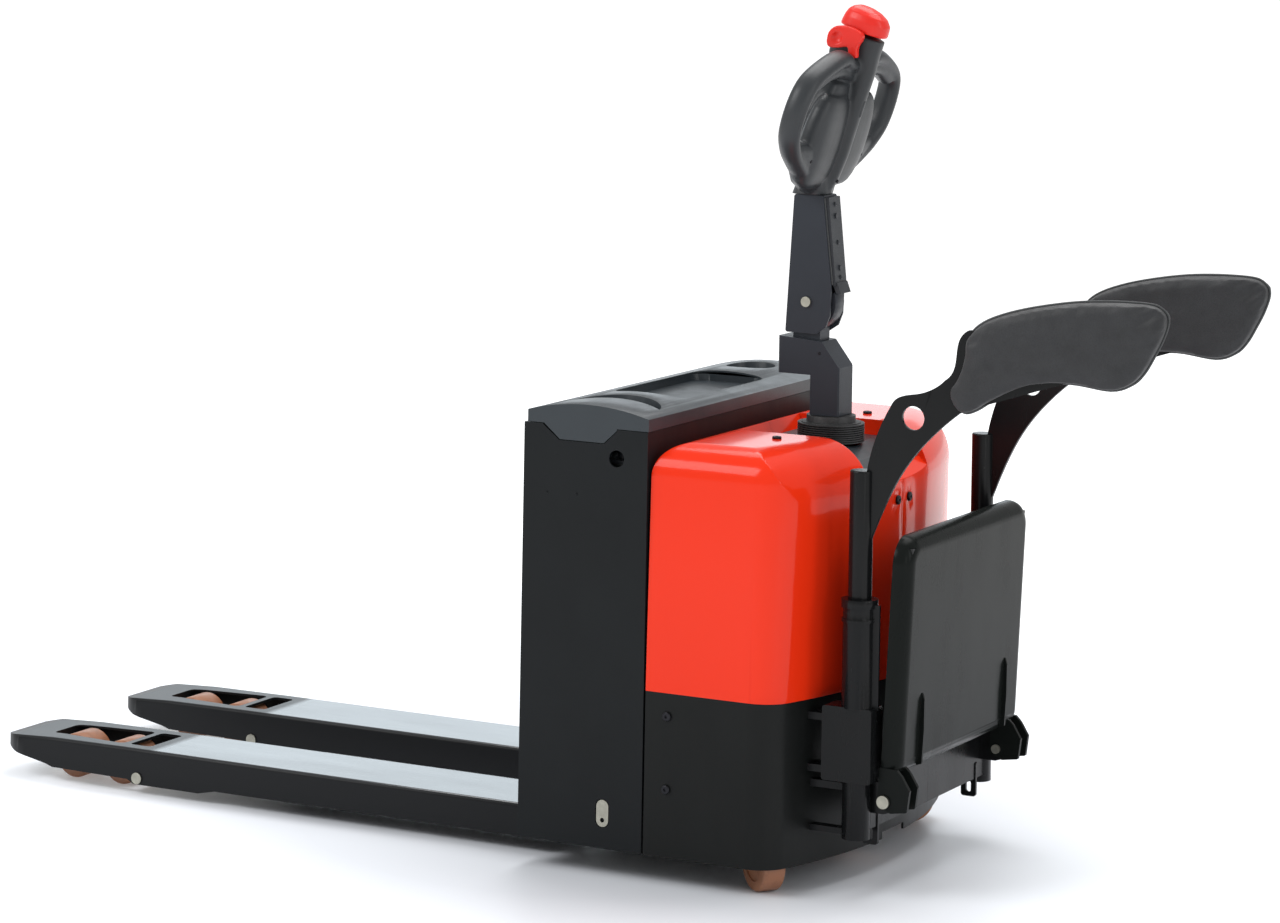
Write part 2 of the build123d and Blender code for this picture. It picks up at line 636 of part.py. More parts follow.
# ---- drive unit -----------------------------------------------------------------------------------
def gearbox():
    """Gear case beside the wheel, with the turning flange of the steering bearing."""
    flange = bar_z(STEER_X, 0, 107.9, 270, 299)
    neck = bar_z(STEER_X, 0, 80, 250, 270)
    case = slot_xz(STEER_X, DRIVE_R, STEER_X, 230, 62, 43, 88)
    bridge = block(STEER_X - 62, STEER_X + 62, -40, 88, 240, 262)
    cover = bar_y(STEER_X, DRIVE_R, 45, 88, 96)
    body = flange + neck + case + bridge + cover
    return body - bar_y(STEER_X, DRIVE_R, 20 + RUNNING, 30, 80)


def drive_wheel_hub():
    """Cast wheel centre with its stub shaft."""
    hub = bar_y(STEER_X, DRIVE_R, 88, -DRIVE_W / 2, DRIVE_W / 2)
    hub -= bar_y(STEER_X, DRIVE_R, 72, -DRIVE_W / 2 - 1, -DRIVE_W / 2 + 22)
    hub += bar_y(STEER_X, DRIVE_R, 34, -DRIVE_W / 2, 0)
    for step in range(5):
        angle = radians(72 * step)
        x, z = STEER_X + 24 * cos(angle), DRIVE_R + 24 * sin(angle)
        hub += bar_y(x, z, 6, -DRIVE_W / 2 - 5, -DRIVE_W / 2 + 4)
    return hub + bar_y(STEER_X, DRIVE_R, 20, 30, 76)


def drive_wheel_tyre():
    tyre = bar_y(STEER_X, DRIVE_R, DRIVE_R, -DRIVE_W / 2, DRIVE_W / 2)
    tyre = fillet(tyre.edges().filter_by(GeomType.CIRCLE), 7)
    return tyre - bar_y(STEER_X, DRIVE_R, 88, -50, 50)


def traction_motor():
    """Upright drive motor with its magnetic brake on top."""
    body = bar_z(STEER_X, 0, 72, 299.2, 470)
    for step in range(12):
        fin = Pos(STEER_X, 0, 390) * Rot(0, 0, 30 * step) * block(60, 76, -3, 3, -70, 60)
        body += fin
    brake = bar_z(STEER_X, 0, 55, 470, 510)
    return body + brake


def gooseneck():
    """Steering post and forged neck with the tiller pivot and a curved guard in front of it."""
    legs = bar_z(STEER_X, 0, 60, 510.2, 522)
    post = bar_z(STEER_X, 0, 24, 522, 770)
    profile = [(380, 764), (436, 764), (436, 848), (402, 892), (319, 898), (319, 833), (380, 833)]
    neck = plate_xz(profile, -30, 30)
    neck = chamfer(neck.edges().filter_by(Axis.Z), 2.5)
    lug = plate_xz([(342, 890), (394, 886), (394, TILLER_Z), (345, TILLER_Z)], -20, 20)
    lug += bar_y(TILLER_X, TILLER_Z, 26, -20, 20)
    lug += bar_y(TILLER_X, TILLER_Z, 15, -24, 24)
    guard = bar_y(TILLER_X, TILLER_Z, 51, -18, 18) - bar_y(TILLER_X, TILLER_Z, 44, -20, 20)
    guard &= plate_xz([(TILLER_X, TILLER_Z), (384, 897), (480, 897), (480, 1000)], -18, 18)
    lug += guard
    return legs + post + neck + lug - bar_y(TILLER_X, TILLER_Z, 8, -40, 40)


def column_bellows():
    """Ribbed rubber boot between deck and steering column."""
    body = bar_z(STEER_X, 0, 52, 718.6, 752) + bar_z(STEER_X, 0, 43, 752, 763.5)
    for step in range(9):
        body += bar_z(STEER_X, 0, 58.5, 718.8 + 3.7 * step, 720.8 + 3.7 * step)
    return body - bar_z(STEER_X, 0, 24.2, 700, 800)


def tiller_pivot_bolt():
    bolt = bar_y(TILLER_X, TILLER_Z, 8, -33, 33)
    for side in (-1, 1):
        bolt += bar_y(TILLER_X, TILLER_Z, 9, *ordered(side * 28.8, side * 33))
    return bolt


# ---- tiller ---------------------------------------------------------------------------------------
def tiller_arm():
    """Two side plates and a rear web, with the pivot at the foot."""
    top = TILLER_ARM_TOP
    outline = [(331, 905), (344, top), (399, top), (417.5, 985), (416, 938), (408, 917), (390, 905)]
    body = None
    for side in (-1, 1):
        plate = plate_xz(outline, *ordered(side * 24.5, side * TILLER_HALF), corner=4)
        body = plate if body is None else body + plate
    body += plate_xz([(336, 990), (344.5, top), (349.5, top), (341, 990)], -25, 25)
    body += plate_xz([(346, top - 26), (347, top), (399, top), (402, top - 26)], -25, 25)
    return body - bar_y(TILLER_X, TILLER_Z, 8 + RUNNING, -40, 40)


def tiller_front_cover():
    """Front cover of the tiller, with a hooked foot above the curved guard."""
    outline = [(417.8, 990), (424, 990), (408, 1143), (399.6, 1143)]
    cover = plate_xz(outline, -23, 23)
    cover += plate_xz([(424, 977), (433, 977), (426, 996), (417.8, 996), (417.8, 990)], -21, 21)
    for z in (1020, 1110):
        x = 424 - (z - 990) * 16 / 153
        cover += bar_x(0, z, 5, x - 2, x + 2.5)
    return cover


def in_head(shape):
    """Move a shape from head coordinates (X out to the operator, Z up the lean) into place."""
    return Pos(HEAD_X, 0, HEAD_Z) * Rot(0, HEAD_LEAN, 0) * shape


def head_loft(sections):
    """A smooth body through ellipses: each section is height, X centre, X radius, Y radius."""
    faces = [Pos(x, 0, z) * Ellipse(rx, ry) for z, x, rx, ry in sections]
    return loft(faces)


def handle_body():
    """Control pod: neck, shield-shaped housing, spine and the mast up to the red switches."""
    body = in_head(pod_and_mast()) - block(0, 600, -100, 100, 1000, TILLER_ARM_TOP + 0.6)
    body -= in_head(bar_y(THROTTLE_X, THROTTLE_Z, 7 + RUNNING, -60, 60))
    body -= in_head(block(24, 60, -13, 13, SWITCH_Z - 23, SWITCH_Z + 23))
    return body - in_head(bar_y(SWITCH_X, SWITCH_Z, 3 + RUNNING, -15.2, 15.2))


def handle_loops():
    """Two closed hand loops, one each side of the pod."""
    points = [(0, -70, 26), (0, -112, 48), (0, -153, 70), (0, -178, 103), (0, -182, 154),
              (0, -164, 193), (0, -107, 217), (0, -60, 232), (0, -14, 236)]
    path = Spline(*points)
    start = path % 0
    section = Plane(origin=path @ 0, z_dir=start, x_dir=(1, 0, 0)) * Ellipse(20, 13.5)
    tube = in_head(sweep(section, path=path))
    left = tube - in_head(pod_and_mast())
    return both_sides(left & block(-200, 900, -400, -1, 900, 1600))


def pod_and_mast():
    """The shield-shaped pod with its neck, and the spine that rises into the mast."""
    neck = head_loft([(-36, -2, 34, 29), (-10, -1, 31, 38), (24, 0, 27, 56)])
    pod = head_loft([(-14, 0, 16, 56), (10, 0, 24, 82), (45, 0, 29, 90), (90, 1, 31, 87),
                     (130, 2, 32, 80), (175, 2, 30, 62), (212, 2, 24, 34)])
    spine = head_loft([(0, 14, 20, 15), (60, 13, 27, 18), (150, 12, 28, 18), (215, 6, 34, 22),
                       (245, 1, 37, 24), (277, -2, 41, 25)])
    return pod + neck + spine


def throttle_butterfly():
    """Red thumb rocker: a cross shaft with a wing on each side of the mast."""
    shaft = bar_y(THROTTLE_X, THROTTLE_Z, 7, -30, 30)
    outline = [(-46, 246), (-46, 264), (-32, 270), (14, 270), (14, 258), (-16, 257), (-28, 246)]
    for side in (-1, 1):
        shaft += plate_xz(outline, *ordered(side * 27, side * 41), corner=3.5)
    return in_head(shaft)


def reverse_button():
    """Red belly button on the crown of the head."""
    cap = head_loft([(281, -3, 43, 33), (300, -3, 41, 32), (314, -5, 31, 25), (321, -6, 18, 15)])
    return in_head(cap)


def lift_switch():
    """Rocker for lifting and lowering, in the face of the spine."""
    rocker = plate_xz([(30, 131), (47, 132), (43, 150), (47, 168), (30, 169)], -12, 12)
    return in_head(rocker + bar_y(SWITCH_X, SWITCH_Z, 3, -15, 15))


# ---- rider platform and guard arms ------------------------------------------------------------------
def platform_pose(shape):
    """Move a shape from platform coordinates (pivot at 0, up the plate = Z) into place."""
    return Pos(PLATFORM_PIVOT_X, 0, PLATFORM_PIVOT_Z) * Rot(0, PLATFORM_LEAN, 0) * shape


def platform_pan():
    """Pressed pan with rolled edges, four hinge arms and two stiffening ribs."""
    face = make_face(Polyline((40, -PLATFORM_HALF), (441, -PLATFORM_HALF), (441, PLATFORM_HALF),
                              (40, PLATFORM_HALF), close=True))
    top = [v for v in face.vertices() if v.X > 100]
    face = fillet(top, 46)
    low = [v for v in face.vertices() if v.X < 100]
    face = fillet(low, 30)
    slab = extrude(face, PLATFORM_T)
    outer = slab.faces().sort_by(Axis.Z)[-1]
    slab = fillet(outer.edges(), 26)
    slab = Pos(-8, 0, 0) * Rot(0, -90, 0) * mirror(slab, about=Plane.XY)
    slab -= block(-9, 19.5, -247, 247, 58, 424)
    body = slab
    for side in (-1, 1):
        for y in (222, 256):
            outline = [(-12, -8), (12, -18), (42, -12), (45, 24), (30, 46), (19.5, 56), (-12, 56)]
            body += plate_xz(outline, *ordered(side * y, side * (y + 7)), corner=3)
        body += plate_xz([(20, 50), (30, 54), (31, 110), (29, 160), (24, 172), (20, 172)],
                         *ordered(side * 178, side * 183))
    body -= bar_y(0, 0, 8 + RUNNING, -300, 300)
    return platform_pose(body)


def platform_mat():
    """Ribbed rubber mat set into the standing face."""
    mat = block(-8.5, 19.3, -246, 246, 59, 423)
    for step in range(17):
        z = 75 + 20.5 * step
        mat -= block(-10, -7.2, -236, 236, z, z + 9)
    return platform_pose(mat)


def platform_hinge_pins():
    pins = []
    for side in (-1, 1):
        pin = bar_y(PLATFORM_PIVOT_X, PLATFORM_PIVOT_Z, 8, *ordered(side * 218, side * 263.4))
        pin += bar_y(PLATFORM_PIVOT_X, PLATFORM_PIVOT_Z, 11, *ordered(side * 263.4, side * 269))
        pins.append(pin)
    return pins


def guard_bracket():
    """Left carrier of the guard post, with the platform lug and half of the rear cross beam."""
    y0, y1 = -285.0, -237.0
    body = block(532, 622, y0, y1, 195, 320)
    body = fillet(body.edges().filter_by(Axis.Y), 5)
    for z in (205, 292):
        body += block(495, 560, y0 + 8, y1 - 4, z, z + 12)
    body += bar_z(GUARD_X, -GUARD_Y, 28, 318, 500)
    body += bar_z(GUARD_X, -GUARD_Y, 31, 486, 500)
    body += bar_z(GUARD_X, -GUARD_Y, 30, 462, 468)
    body += bar_z(GUARD_X, -GUARD_Y, 24, 99, 196)
    body += block(604, 626, y0 + 18, y0 + 23, 318, 492)
    lug = plate_xz([(594, 142), (594, 200), (640, 190), (658, 168), (650, 148), (632, 142)], -250, -234)
    body += lug
    body += block(500, 590, y0 + 16, y1 - 12, 104, 114) + block(500, 590, y0 + 16, y1 - 12, 178, 190)
    body += block(592, 604, -250, -0.2, 112, 188)
    body += plate_xz([(578, 80), (578, 142), (606, 142), (606, 80)], -214, -208, corner=5)
    body -= slot_xz(592, 92, 592, 103, 5, -220, -200)
    body -= bar_z(GUARD_X, -GUARD_Y, GUARD_R + RUNNING, 205, 510)
    body -= bar_y(PLATFORM_PIVOT_X, PLATFORM_PIVOT_Z, 8, -300, -200)
    body -= body_column(-0.2, 0, 400, 240)
    return body


def guard_post():
    """Left guard post: tube with its cap, and the curved arm plate slotted into it."""
    tube = bar_z(GUARD_X, -GUARD_Y, GUARD_R, 210, GUARD_TOP)
    tube = fillet(tube.edges().sort_by(Axis.Z)[-1], 3)
    outline = make_face(
        Spline((596, 708), (613, 773), (638, 826))
        + Spline((638, 826), (655, 843), (683, 849), (707, 857), (734, 876))
        + Spline((734, 876), (753, 911), (757, 940), (775, 962))
        + Polyline((775, 962), (1050, 962), (1000, 905), (791, 835))
        + Polyline((791, 835), (762, 824))
        + Spline((762, 824), (713, 781), (665, 723), (631, 660), (606, 600))
        + Line((606, 600), (596, 600)) + Line((596, 600), (596, 708)))
    half = ARM_T / 2
    plate = extrude(Plane.XZ.offset(GUARD_Y + half) * outline, -ARM_T)
    plate -= bar_y(678.5, 809, 20, -300, -200)
    return tube + toe_in(plate)


def toe_in(shape):
    """Turn a left guard part about its post so that it points slightly inwards."""
    return Pos(GUARD_X, -GUARD_Y, 0) * Rot(0, 0, GUARD_TOE) * Pos(-GUARD_X, GUARD_Y, 0) * shape


def guard_pad():
    """Left pad: a padded cushion over the end of the arm plate."""
    edge = Spline((772, 950), (800, 977), (858, 999), (940, 1018), (1080, 1026))
    tip = Spline((1080, 1026), (1108, 1020), (GUARD_TIP_X, 1000), (1108, 968), (1077, 912))
    low = Spline((1077, 912), (1055, 891), (1022, 880), (951, 887), (880, 880), (812, 853), (779, 832))
    back = Line((779, 832), (772, 950))
    face = make_face(edge + tip + low + back)
    half = PAD_T / 2
    pad = extrude(Plane.XZ.offset(GUARD_Y + half) * face, -PAD_T)
    slot_half = ARM_T / 2 + 0.2
    arm_slot = block(700, 1057, -GUARD_Y - slot_half, -GUARD_Y + slot_half, 780, 970)
    return toe_in(pad - arm_slot)


# ---- castors --------------------------------------------------------------------------------------------
def castor_pose(shape):
    """Move a left castor from its own frame (swivel axis at 0, trail along +X) into place."""
    return Pos(CASTOR_X, -CASTOR_Y, 0) * Rot(0, 0, -CASTOR_TOE) * shape


def castor_fork():
    crown = bar_z(0, 0, 30, 104, 112.8)
    kingpin = bar_z(0, 0, 10, 104, 121.9)
    body = crown + kingpin
    for side in (-1, 1):
        span = ordered(side * 23, side * 27)
        body += plate_xz([(-22, 104), (26, 104), (36, 45), (CASTOR_TRAIL - 12, 36)], *span)
    body += block(-22, 26, -27, 27, 98, 104)
    body += bar_y(CASTOR_TRAIL, CASTOR_R, 6, -29, 29)
    return castor_pose(body)


def castor_wheel():
    half = CASTOR_W / 2
    wheel = bar_y(CASTOR_TRAIL, CASTOR_R, CASTOR_R, -half, half)
    wheel = fillet(wheel.edges().filter_by(GeomType.CIRCLE), 5)
    for side in (-1, 1):
        wheel -= bar_y(CASTOR_TRAIL, CASTOR_R, 28, *ordered(side * (half - 3), side * (half + 1)))
    return castor_pose(wheel - bar_y(CASTOR_TRAIL, CASTOR_R, 6 + RUNNING, -40, 40))


# ---- the whole truck ----------------------------------------------------------------------------------
def build():
    """Every node and its solids, in the design frame."""
    left_shell, right_shell = hood_shells()
    nodes = {
        "chassis_frame": chassis_frame(),
        "skirt_cover": skirt_cover(),
        "hood_left": left_shell,
        "hood_right": right_shell,
        "hood_deck": hood_deck(),
        "cover_screws": cover_screws(),
        "pump_motor": pump_motor(),
        "oil_tank": oil_tank(),
        "motor_controller": motor_controller(),
        "lift_cylinder": lift_cylinder(),
        "lift_rod": lift_rod(),
        "bearing_outer_ring": bearing_outer_ring(),
        "battery_box": battery_box(),
        "shaft_retainers": shaft_retainers(),
        "battery_tray": battery_tray(),
        "battery_cells": battery_cells(),
        "battery_lid": battery_lid(),
        "carrier_pins": carrier_pins(),
        "lift_rocker": lift_rocker(),
        "gearbox": gearbox(),
        "traction_motor": traction_motor(),
        "drive_wheel_hub": drive_wheel_hub(),
        "drive_wheel_tyre": drive_wheel_tyre(),
        "gooseneck": gooseneck(),
        "column_bellows": column_bellows(),
        "tiller_pivot_bolt": tiller_pivot_bolt(),
        "tiller_arm": tiller_arm(),
        "tiller_front_cover": tiller_front_cover(),
        "handle_body": handle_body(),
        "handle_loops": handle_loops(),
        "throttle_butterfly": throttle_butterfly(),
        "reverse_button": reverse_button(),
        "lift_switch": lift_switch(),
        "platform_pan": platform_pan(),
        "platform_mat": platform_mat(),
        "platform_hinge_pins": platform_hinge_pins(),
    }
    for side, word in ((-1, "left"), (1, "right")):
        nodes[f"fork_{word}"] = fork(side)
        nodes[f"entry_roller_{word}"] = entry_roller(side)
        nodes[f"wheel_carrier_{word}"] = carrier(side)
        nodes[f"bogie_{word}"] = bogie(side)
        nodes[f"push_rod_{word}"] = push_rod(side)
        nodes[f"load_wheel_{word}_front"] = load_wheel(side, -1)
        nodes[f"load_wheel_{word}_rear"] = load_wheel(side, 1)
    for name, make in (("guard_bracket", guard_bracket), ("guard_post", guard_post),
                       ("guard_pad", guard_pad), ("castor_fork", castor_fork),
                       ("castor_wheel", castor_wheel)):
        shape = make()
        nodes[f"{name}_left"] = shape
        nodes[f"{name}_right"] = other_side(shape)
    return nodes


def write_parts(nodes):
    """Move each node to the row frame and write one STEP file per node."""
    os.makedirs("parts", exist_ok=True)
    for name, shape in nodes.items():
        solids = shape if isinstance(shape, list) else [shape]
        moved = [solid for part in solids for solid in (Pos(-ORIGIN_X, 0, 0) * part).solids()]
        compound = moved[0] if len(moved) == 1 else Compound(children=moved)
        export_step(compound, f"parts/{name}.step")


write_parts(build())
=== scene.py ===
"""Looks of the rider pallet truck: materials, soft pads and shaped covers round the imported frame.

Metres, in the row frame: forks towards -X, operator towards +X, left is -Y, floor at Z = 0.
"""
import math

import bmesh
import bpy
from mathutils import Matrix, Vector


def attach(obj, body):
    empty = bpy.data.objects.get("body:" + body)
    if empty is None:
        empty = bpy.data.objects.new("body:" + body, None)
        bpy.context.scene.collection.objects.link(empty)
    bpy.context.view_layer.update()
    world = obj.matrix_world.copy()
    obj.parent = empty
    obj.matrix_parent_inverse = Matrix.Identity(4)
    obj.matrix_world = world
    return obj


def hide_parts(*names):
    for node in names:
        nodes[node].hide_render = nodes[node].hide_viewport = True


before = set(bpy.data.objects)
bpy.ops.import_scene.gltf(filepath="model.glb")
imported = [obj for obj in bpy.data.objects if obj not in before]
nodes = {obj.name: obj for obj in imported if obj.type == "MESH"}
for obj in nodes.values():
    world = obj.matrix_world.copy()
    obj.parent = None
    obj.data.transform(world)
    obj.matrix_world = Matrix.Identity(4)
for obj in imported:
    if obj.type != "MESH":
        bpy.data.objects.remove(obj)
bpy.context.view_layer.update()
SIDES = ((-1, "left"), (1, "right"))

# Places below are written in millimetres of the design frame, whose X is 15 mm less than the row frame's.
DESIGN_SHIFT = 15.0
HEAD = Matrix.Translation((0.389, 0, 1.168)) @ Matrix.Rotation(math.radians(18.2), 4, "Y")
PAD_HALF = 0.019            # half thickness of a pad before it is filled
PAD_PLANE = 0.261           # distance of both pads from the mid-plane, at the post
GUARD_POST_X = 0.602
GUARD_TOE = 1.5             # degrees
SHOT_X = 3.5968               # the camera's X at the product shot
FORK_SEAM_X = -0.79           # the fork's nose ends and its smooth top plate begins here


# ---- node helpers --------------------------------------------------------------------------------
class Shader:
    """A small builder round one material's node tree."""

    def __init__(self, name):
        self.material = bpy.data.materials.new(name)
        self.material.use_nodes = True
        self.tree = self.material.node_tree
        self.bsdf = self.tree.nodes["Principled BSDF"]
        self.place = self.add("ShaderNodeTexCoord").outputs["Object"]

    def add(self, kind, **settings):
        node = self.tree.nodes.new(kind)
        for key, value in settings.items():
            setattr(node, key, value)
        return node

    def link(self, source, target):
        self.tree.links.new(source, target)

    def put(self, socket, value):
        """Join a socket to another node's output, or give it a plain value."""
        if hasattr(value, "is_output"):
            self.link(value, socket)
        else:
            socket.default_value = value

    def noise(self, scale, detail=3.0, rough=0.5, stretch=(1, 1, 1)):
        mapping = self.add("ShaderNodeMapping")
        self.link(self.place, mapping.inputs["Vector"])
        mapping.inputs["Scale"].default_value = stretch
        node = self.add("ShaderNodeTexNoise")
        self.link(mapping.outputs[0], node.inputs["Vector"])
        node.inputs["Scale"].default_value = scale
        node.inputs["Detail"].default_value = detail
        node.inputs["Roughness"].default_value = rough
        return node.outputs[0]

    def cells(self, scale, feature="F1"):
        node = self.add("ShaderNodeTexVoronoi", feature=feature)
        self.link(self.place, node.inputs["Vector"])
        node.inputs["Scale"].default_value = scale
        return node.outputs["Distance"]

    def band(self, value, low, high, out_low=0.0, out_high=1.0):
        """Map value from low..high to out_low..out_high, clamped."""
        node = self.add("ShaderNodeMapRange")
        self.put(node.inputs["Value"], value)
        for socket, number in zip(("From Min", "From Max", "To Min", "To Max"), (low, high, out_low, out_high)):
            node.inputs[socket].default_value = number
        return node.outputs[0]

    def math(self, operation, a, b=0.0):
        node = self.add("ShaderNodeMath", operation=operation)
        self.put(node.inputs[0], a)
        self.put(node.inputs[1], b)
        return node.outputs[0]

    def mix(self, share, a, b):
        node = self.add("ShaderNodeMix", data_type="RGBA")
        self.put(node.inputs[0], share)
        for socket, value in ((node.inputs[6], a), (node.inputs[7], b)):
            self.put(socket, (*value, 1.0) if isinstance(value, tuple) and len(value) == 3 else value)
        return node.outputs[2]

    def edges(self, radius, low=0.02, high=0.25):
        """A mask of convex and concave edges, from the difference of rounded and true normals."""
        rounded = self.add("ShaderNodeBevel", samples=4)
        rounded.inputs["Radius"].default_value = radius
        true = self.add("ShaderNodeNewGeometry").outputs["Normal"]
        dot = self.add("ShaderNodeVectorMath", operation="DOT_PRODUCT")
        self.link(rounded.outputs[0], dot.inputs[0])
        self.link(true, dot.inputs[1])
        return self.band(self.math("SUBTRACT", 1.0, dot.outputs["Value"]), low, high)

    def bump(self, height, strength, distance):
        previous = self.bsdf.inputs["Normal"].links
        node = self.add("ShaderNodeBump")
        node.inputs["Strength"].default_value = strength
        node.inputs["Distance"].default_value = distance
        self.link(height, node.inputs["Height"])
        if previous:
            self.link(previous[0].from_socket, node.inputs["Normal"])
        self.link(node.outputs[0], self.bsdf.inputs["Normal"])

    def surface(self, color, rough, metal=0.0, specular=0.5):
        self.put(self.bsdf.inputs["Base Color"], (*color, 1.0) if isinstance(color, tuple) else color)
        self.put(self.bsdf.inputs["Roughness"], rough)
        self.put(self.bsdf.inputs["Metallic"], metal)
        self.put(self.bsdf.inputs["Specular IOR Level"], specular)
        return self.material


# ---- materials -----------------------------------------------------------------------------------
def powder_coat(name, color, rough, grain=900.0, depth=0.25, scuff_and_edge_highlight=0.35, specular=0.16):
    """Satin powder coat: fine orange peel, slow colour drift, and lighter patches along edges, partly rubbed wear and
    partly painted edge highlight.
    """
    s = Shader(name)
    drift = s.band(s.noise(6.0, 4), 0.3, 0.7)
    dark = tuple(c * 0.82 for c in color)
    base = s.mix(drift, dark, color)
    # Lighter edges: partly rubbed wear, partly a painted highlight on the edges.
    wear_and_edge_highlight = s.math("MULTIPLY", s.edges(0.0016), s.band(s.noise(55.0, 5), 0.45, 0.75, 0.0, scuff_and_edge_highlight))
    base = s.mix(wear_and_edge_highlight, base, tuple(c * 3.0 + 0.04 for c in color))
    smear = s.band(s.noise(14.0, 5, 0.6, (1, 1, 0.35)), 0.3, 0.75, rough - 0.05, rough + 0.09)
    material = s.surface(base, smear, specular=specular)
    s.bump(s.noise(grain, 2), depth, 0.0004)
    return material


def fork_coat():
    """Powder coat rubbed smooth on the fork's top by pallets, matt on its sides and its nose; the top's lighter, bluer
    base colour is partly a painted sheen, and the lighter edges are partly a painted highlight.
    """
    s = Shader("fork_powder_coat")
    up = s.add("ShaderNodeSeparateXYZ")
    s.link(s.add("ShaderNodeNewGeometry").outputs["Normal"], up.inputs[0])
    along = s.add("ShaderNodeSeparateXYZ")
    s.link(s.place, along.inputs[0])
    behind_nose = s.band(along.outputs["X"], FORK_SEAM_X - 0.012, FORK_SEAM_X + 0.004, 0.30, 1.0)
    polish_and_top_sheen = s.math("MULTIPLY", s.band(up.outputs["Z"], 0.6, 0.95), behind_nose)
    rub = s.band(s.noise(9.0, 5, 0.6, (0.25, 1, 1)), 0.3, 0.75)
    # Painted sheen: up-facing faces behind the nose get a lighter, bluer base colour, on top of the real rubbing.
    base = s.mix(s.math("MULTIPLY", polish_and_top_sheen, rub), (0.0055, 0.006, 0.007), (0.012, 0.014, 0.018))
    # Lighter edges: partly rubbed wear, partly a painted highlight on the edges.
    wear_and_edge_highlight = s.math("MULTIPLY", s.edges(0.0016), s.band(s.noise(55.0, 5), 0.45, 0.75, 0.0, 0.5))
    base = s.mix(wear_and_edge_highlight, base, (0.07, 0.075, 0.08))
    material = s.surface(base, s.band(polish_and_top_sheen, 0.0, 1.0, 0.45, 0.24), specular=0.2)
    s.put(s.bsdf.inputs["Coat Weight"], s.math("MULTIPLY", polish_and_top_sheen, s.band(rub, 0.0, 1.0, 0.75, 1.0)))
    s.bsdf.inputs["Coat Roughness"].default_value = 0.16
    s.bsdf.inputs["Coat IOR"].default_value = 1.6
    s.bsdf.inputs["Coat Tint"].default_value = (0.90, 0.96, 1.0, 1.0)
    s.bump(s.noise(900.0, 2), 0.12, 0.0003)
    return material


def gloss_shell(name, color):
    """Glossy pigmented shell under a thin clear coat."""
    s = Shader(name)
    drift = s.band(s.noise(2.0, 2), 0.3, 0.7)
    base = s.mix(drift, tuple(c * 0.96 for c in color), color)
    # Lighter orange edges: partly rubbed wear, partly a painted highlight on the edges.
    wear_and_edge_highlight = s.math("MULTIPLY", s.edges(0.002), s.band(s.noise(70.0, 4), 0.5, 0.8, 0.0, 0.2))
    base = s.mix(wear_and_edge_highlight, base, (0.9, 0.30, 0.2))
    haze = s.band(s.noise(7.0, 3), 0.3, 0.8, 0.20, 0.27)
    material = s.surface(base, haze, specular=0.08)
    s.bsdf.inputs["Coat Weight"].default_value = 0.45
    s.bsdf.inputs["Coat IOR"].default_value = 1.35
    s.bsdf.inputs["Coat Roughness"].default_value = 0.07
    s.bump(s.noise(420.0, 2), 0.03, 0.0003)
    return material


def moulded(name, color, rough, grain=1100.0, depth=0.3, specular=0.3):
    """Moulded plastic with a fine spark-eroded grain and lighter edges, partly rubbed wear and partly a painted edge
    highlight.
    """
    s = Shader(name)
    drift = s.band(s.noise(8.0, 4), 0.3, 0.7)
    base = s.mix(drift, tuple(c * 0.85 for c in color), color)
    # Lighter edges: partly rubbed wear, partly a painted highlight on the edges.
    wear_and_edge_highlight = s.math("MULTIPLY", s.edges(0.0018), s.band(s.noise(60.0, 4), 0.4, 0.8, 0.0, 0.4))
    base = s.mix(wear_and_edge_highlight, base, tuple(c * 2.0 + 0.02 for c in color))
    material = s.surface(base, s.band(s.noise(20.0, 4), 0.3, 0.7, rough - 0.04, rough + 0.06), specular=specular)
    s.bump(s.cells(grain), depth, 0.0003)
    return material


def rubber(name, color, rough=0.72):
    """Matt rubber with pale dust in noise patches."""
    s = Shader(name)
    dust = s.band(s.noise(40.0, 6, 0.6), 0.5, 0.85, 0.0, 0.25)
    base = s.mix(dust, color, (0.14, 0.135, 0.125))
    material = s.surface(base, s.band(s.noise(30.0, 3), 0.3, 0.7, rough - 0.05, rough + 0.1))
    s.bump(s.noise(700.0, 3), 0.3, 0.0004)
    return material


def leather_skin(name, color):
    """Soft grained skin of the pads: pebbles, fine creases and slow mottling."""
    s = Shader(name)
    mottle = s.band(s.noise(22.0, 6, 0.62), 0.3, 0.75)
    base = s.mix(mottle, tuple(c * 0.7 for c in color), tuple(c * 1.25 for c in color))
    pebbles = s.cells(420.0, "SMOOTH_F1")
    base = s.mix(s.band(pebbles, 0.35, 0.75, 0.0, 0.45), base, tuple(c * 0.45 for c in color))
    material = s.surface(base, s.band(s.noise(45.0, 4), 0.3, 0.7, 0.52, 0.68), specular=0.42)
    s.bsdf.inputs["Sheen Weight"].default_value = 0.12
    s.bump(pebbles, 0.55, 0.0006)
    s.bump(s.noise(1500.0, 3), 0.25, 0.0003)
    return material


def urethane(name, color):
    """Cast polyurethane: warm, slightly clear, with rolled-in dirt."""
    s = Shader(name)
    dirt = s.band(s.noise(60.0, 5, 0.65), 0.5, 0.8, 0.0, 0.55)
    base = s.mix(dirt, color, tuple(c * 0.3 for c in color))
    material = s.surface(base, s.band(s.noise(35.0, 3), 0.3, 0.7, 0.3, 0.5))
    s.bsdf.inputs["Subsurface Weight"].default_value = 0.15
    s.bsdf.inputs["Subsurface Radius"].default_value = (0.006, 0.003, 0.001)
    s.bump(s.noise(220.0, 4), 0.2, 0.0006)
    return material


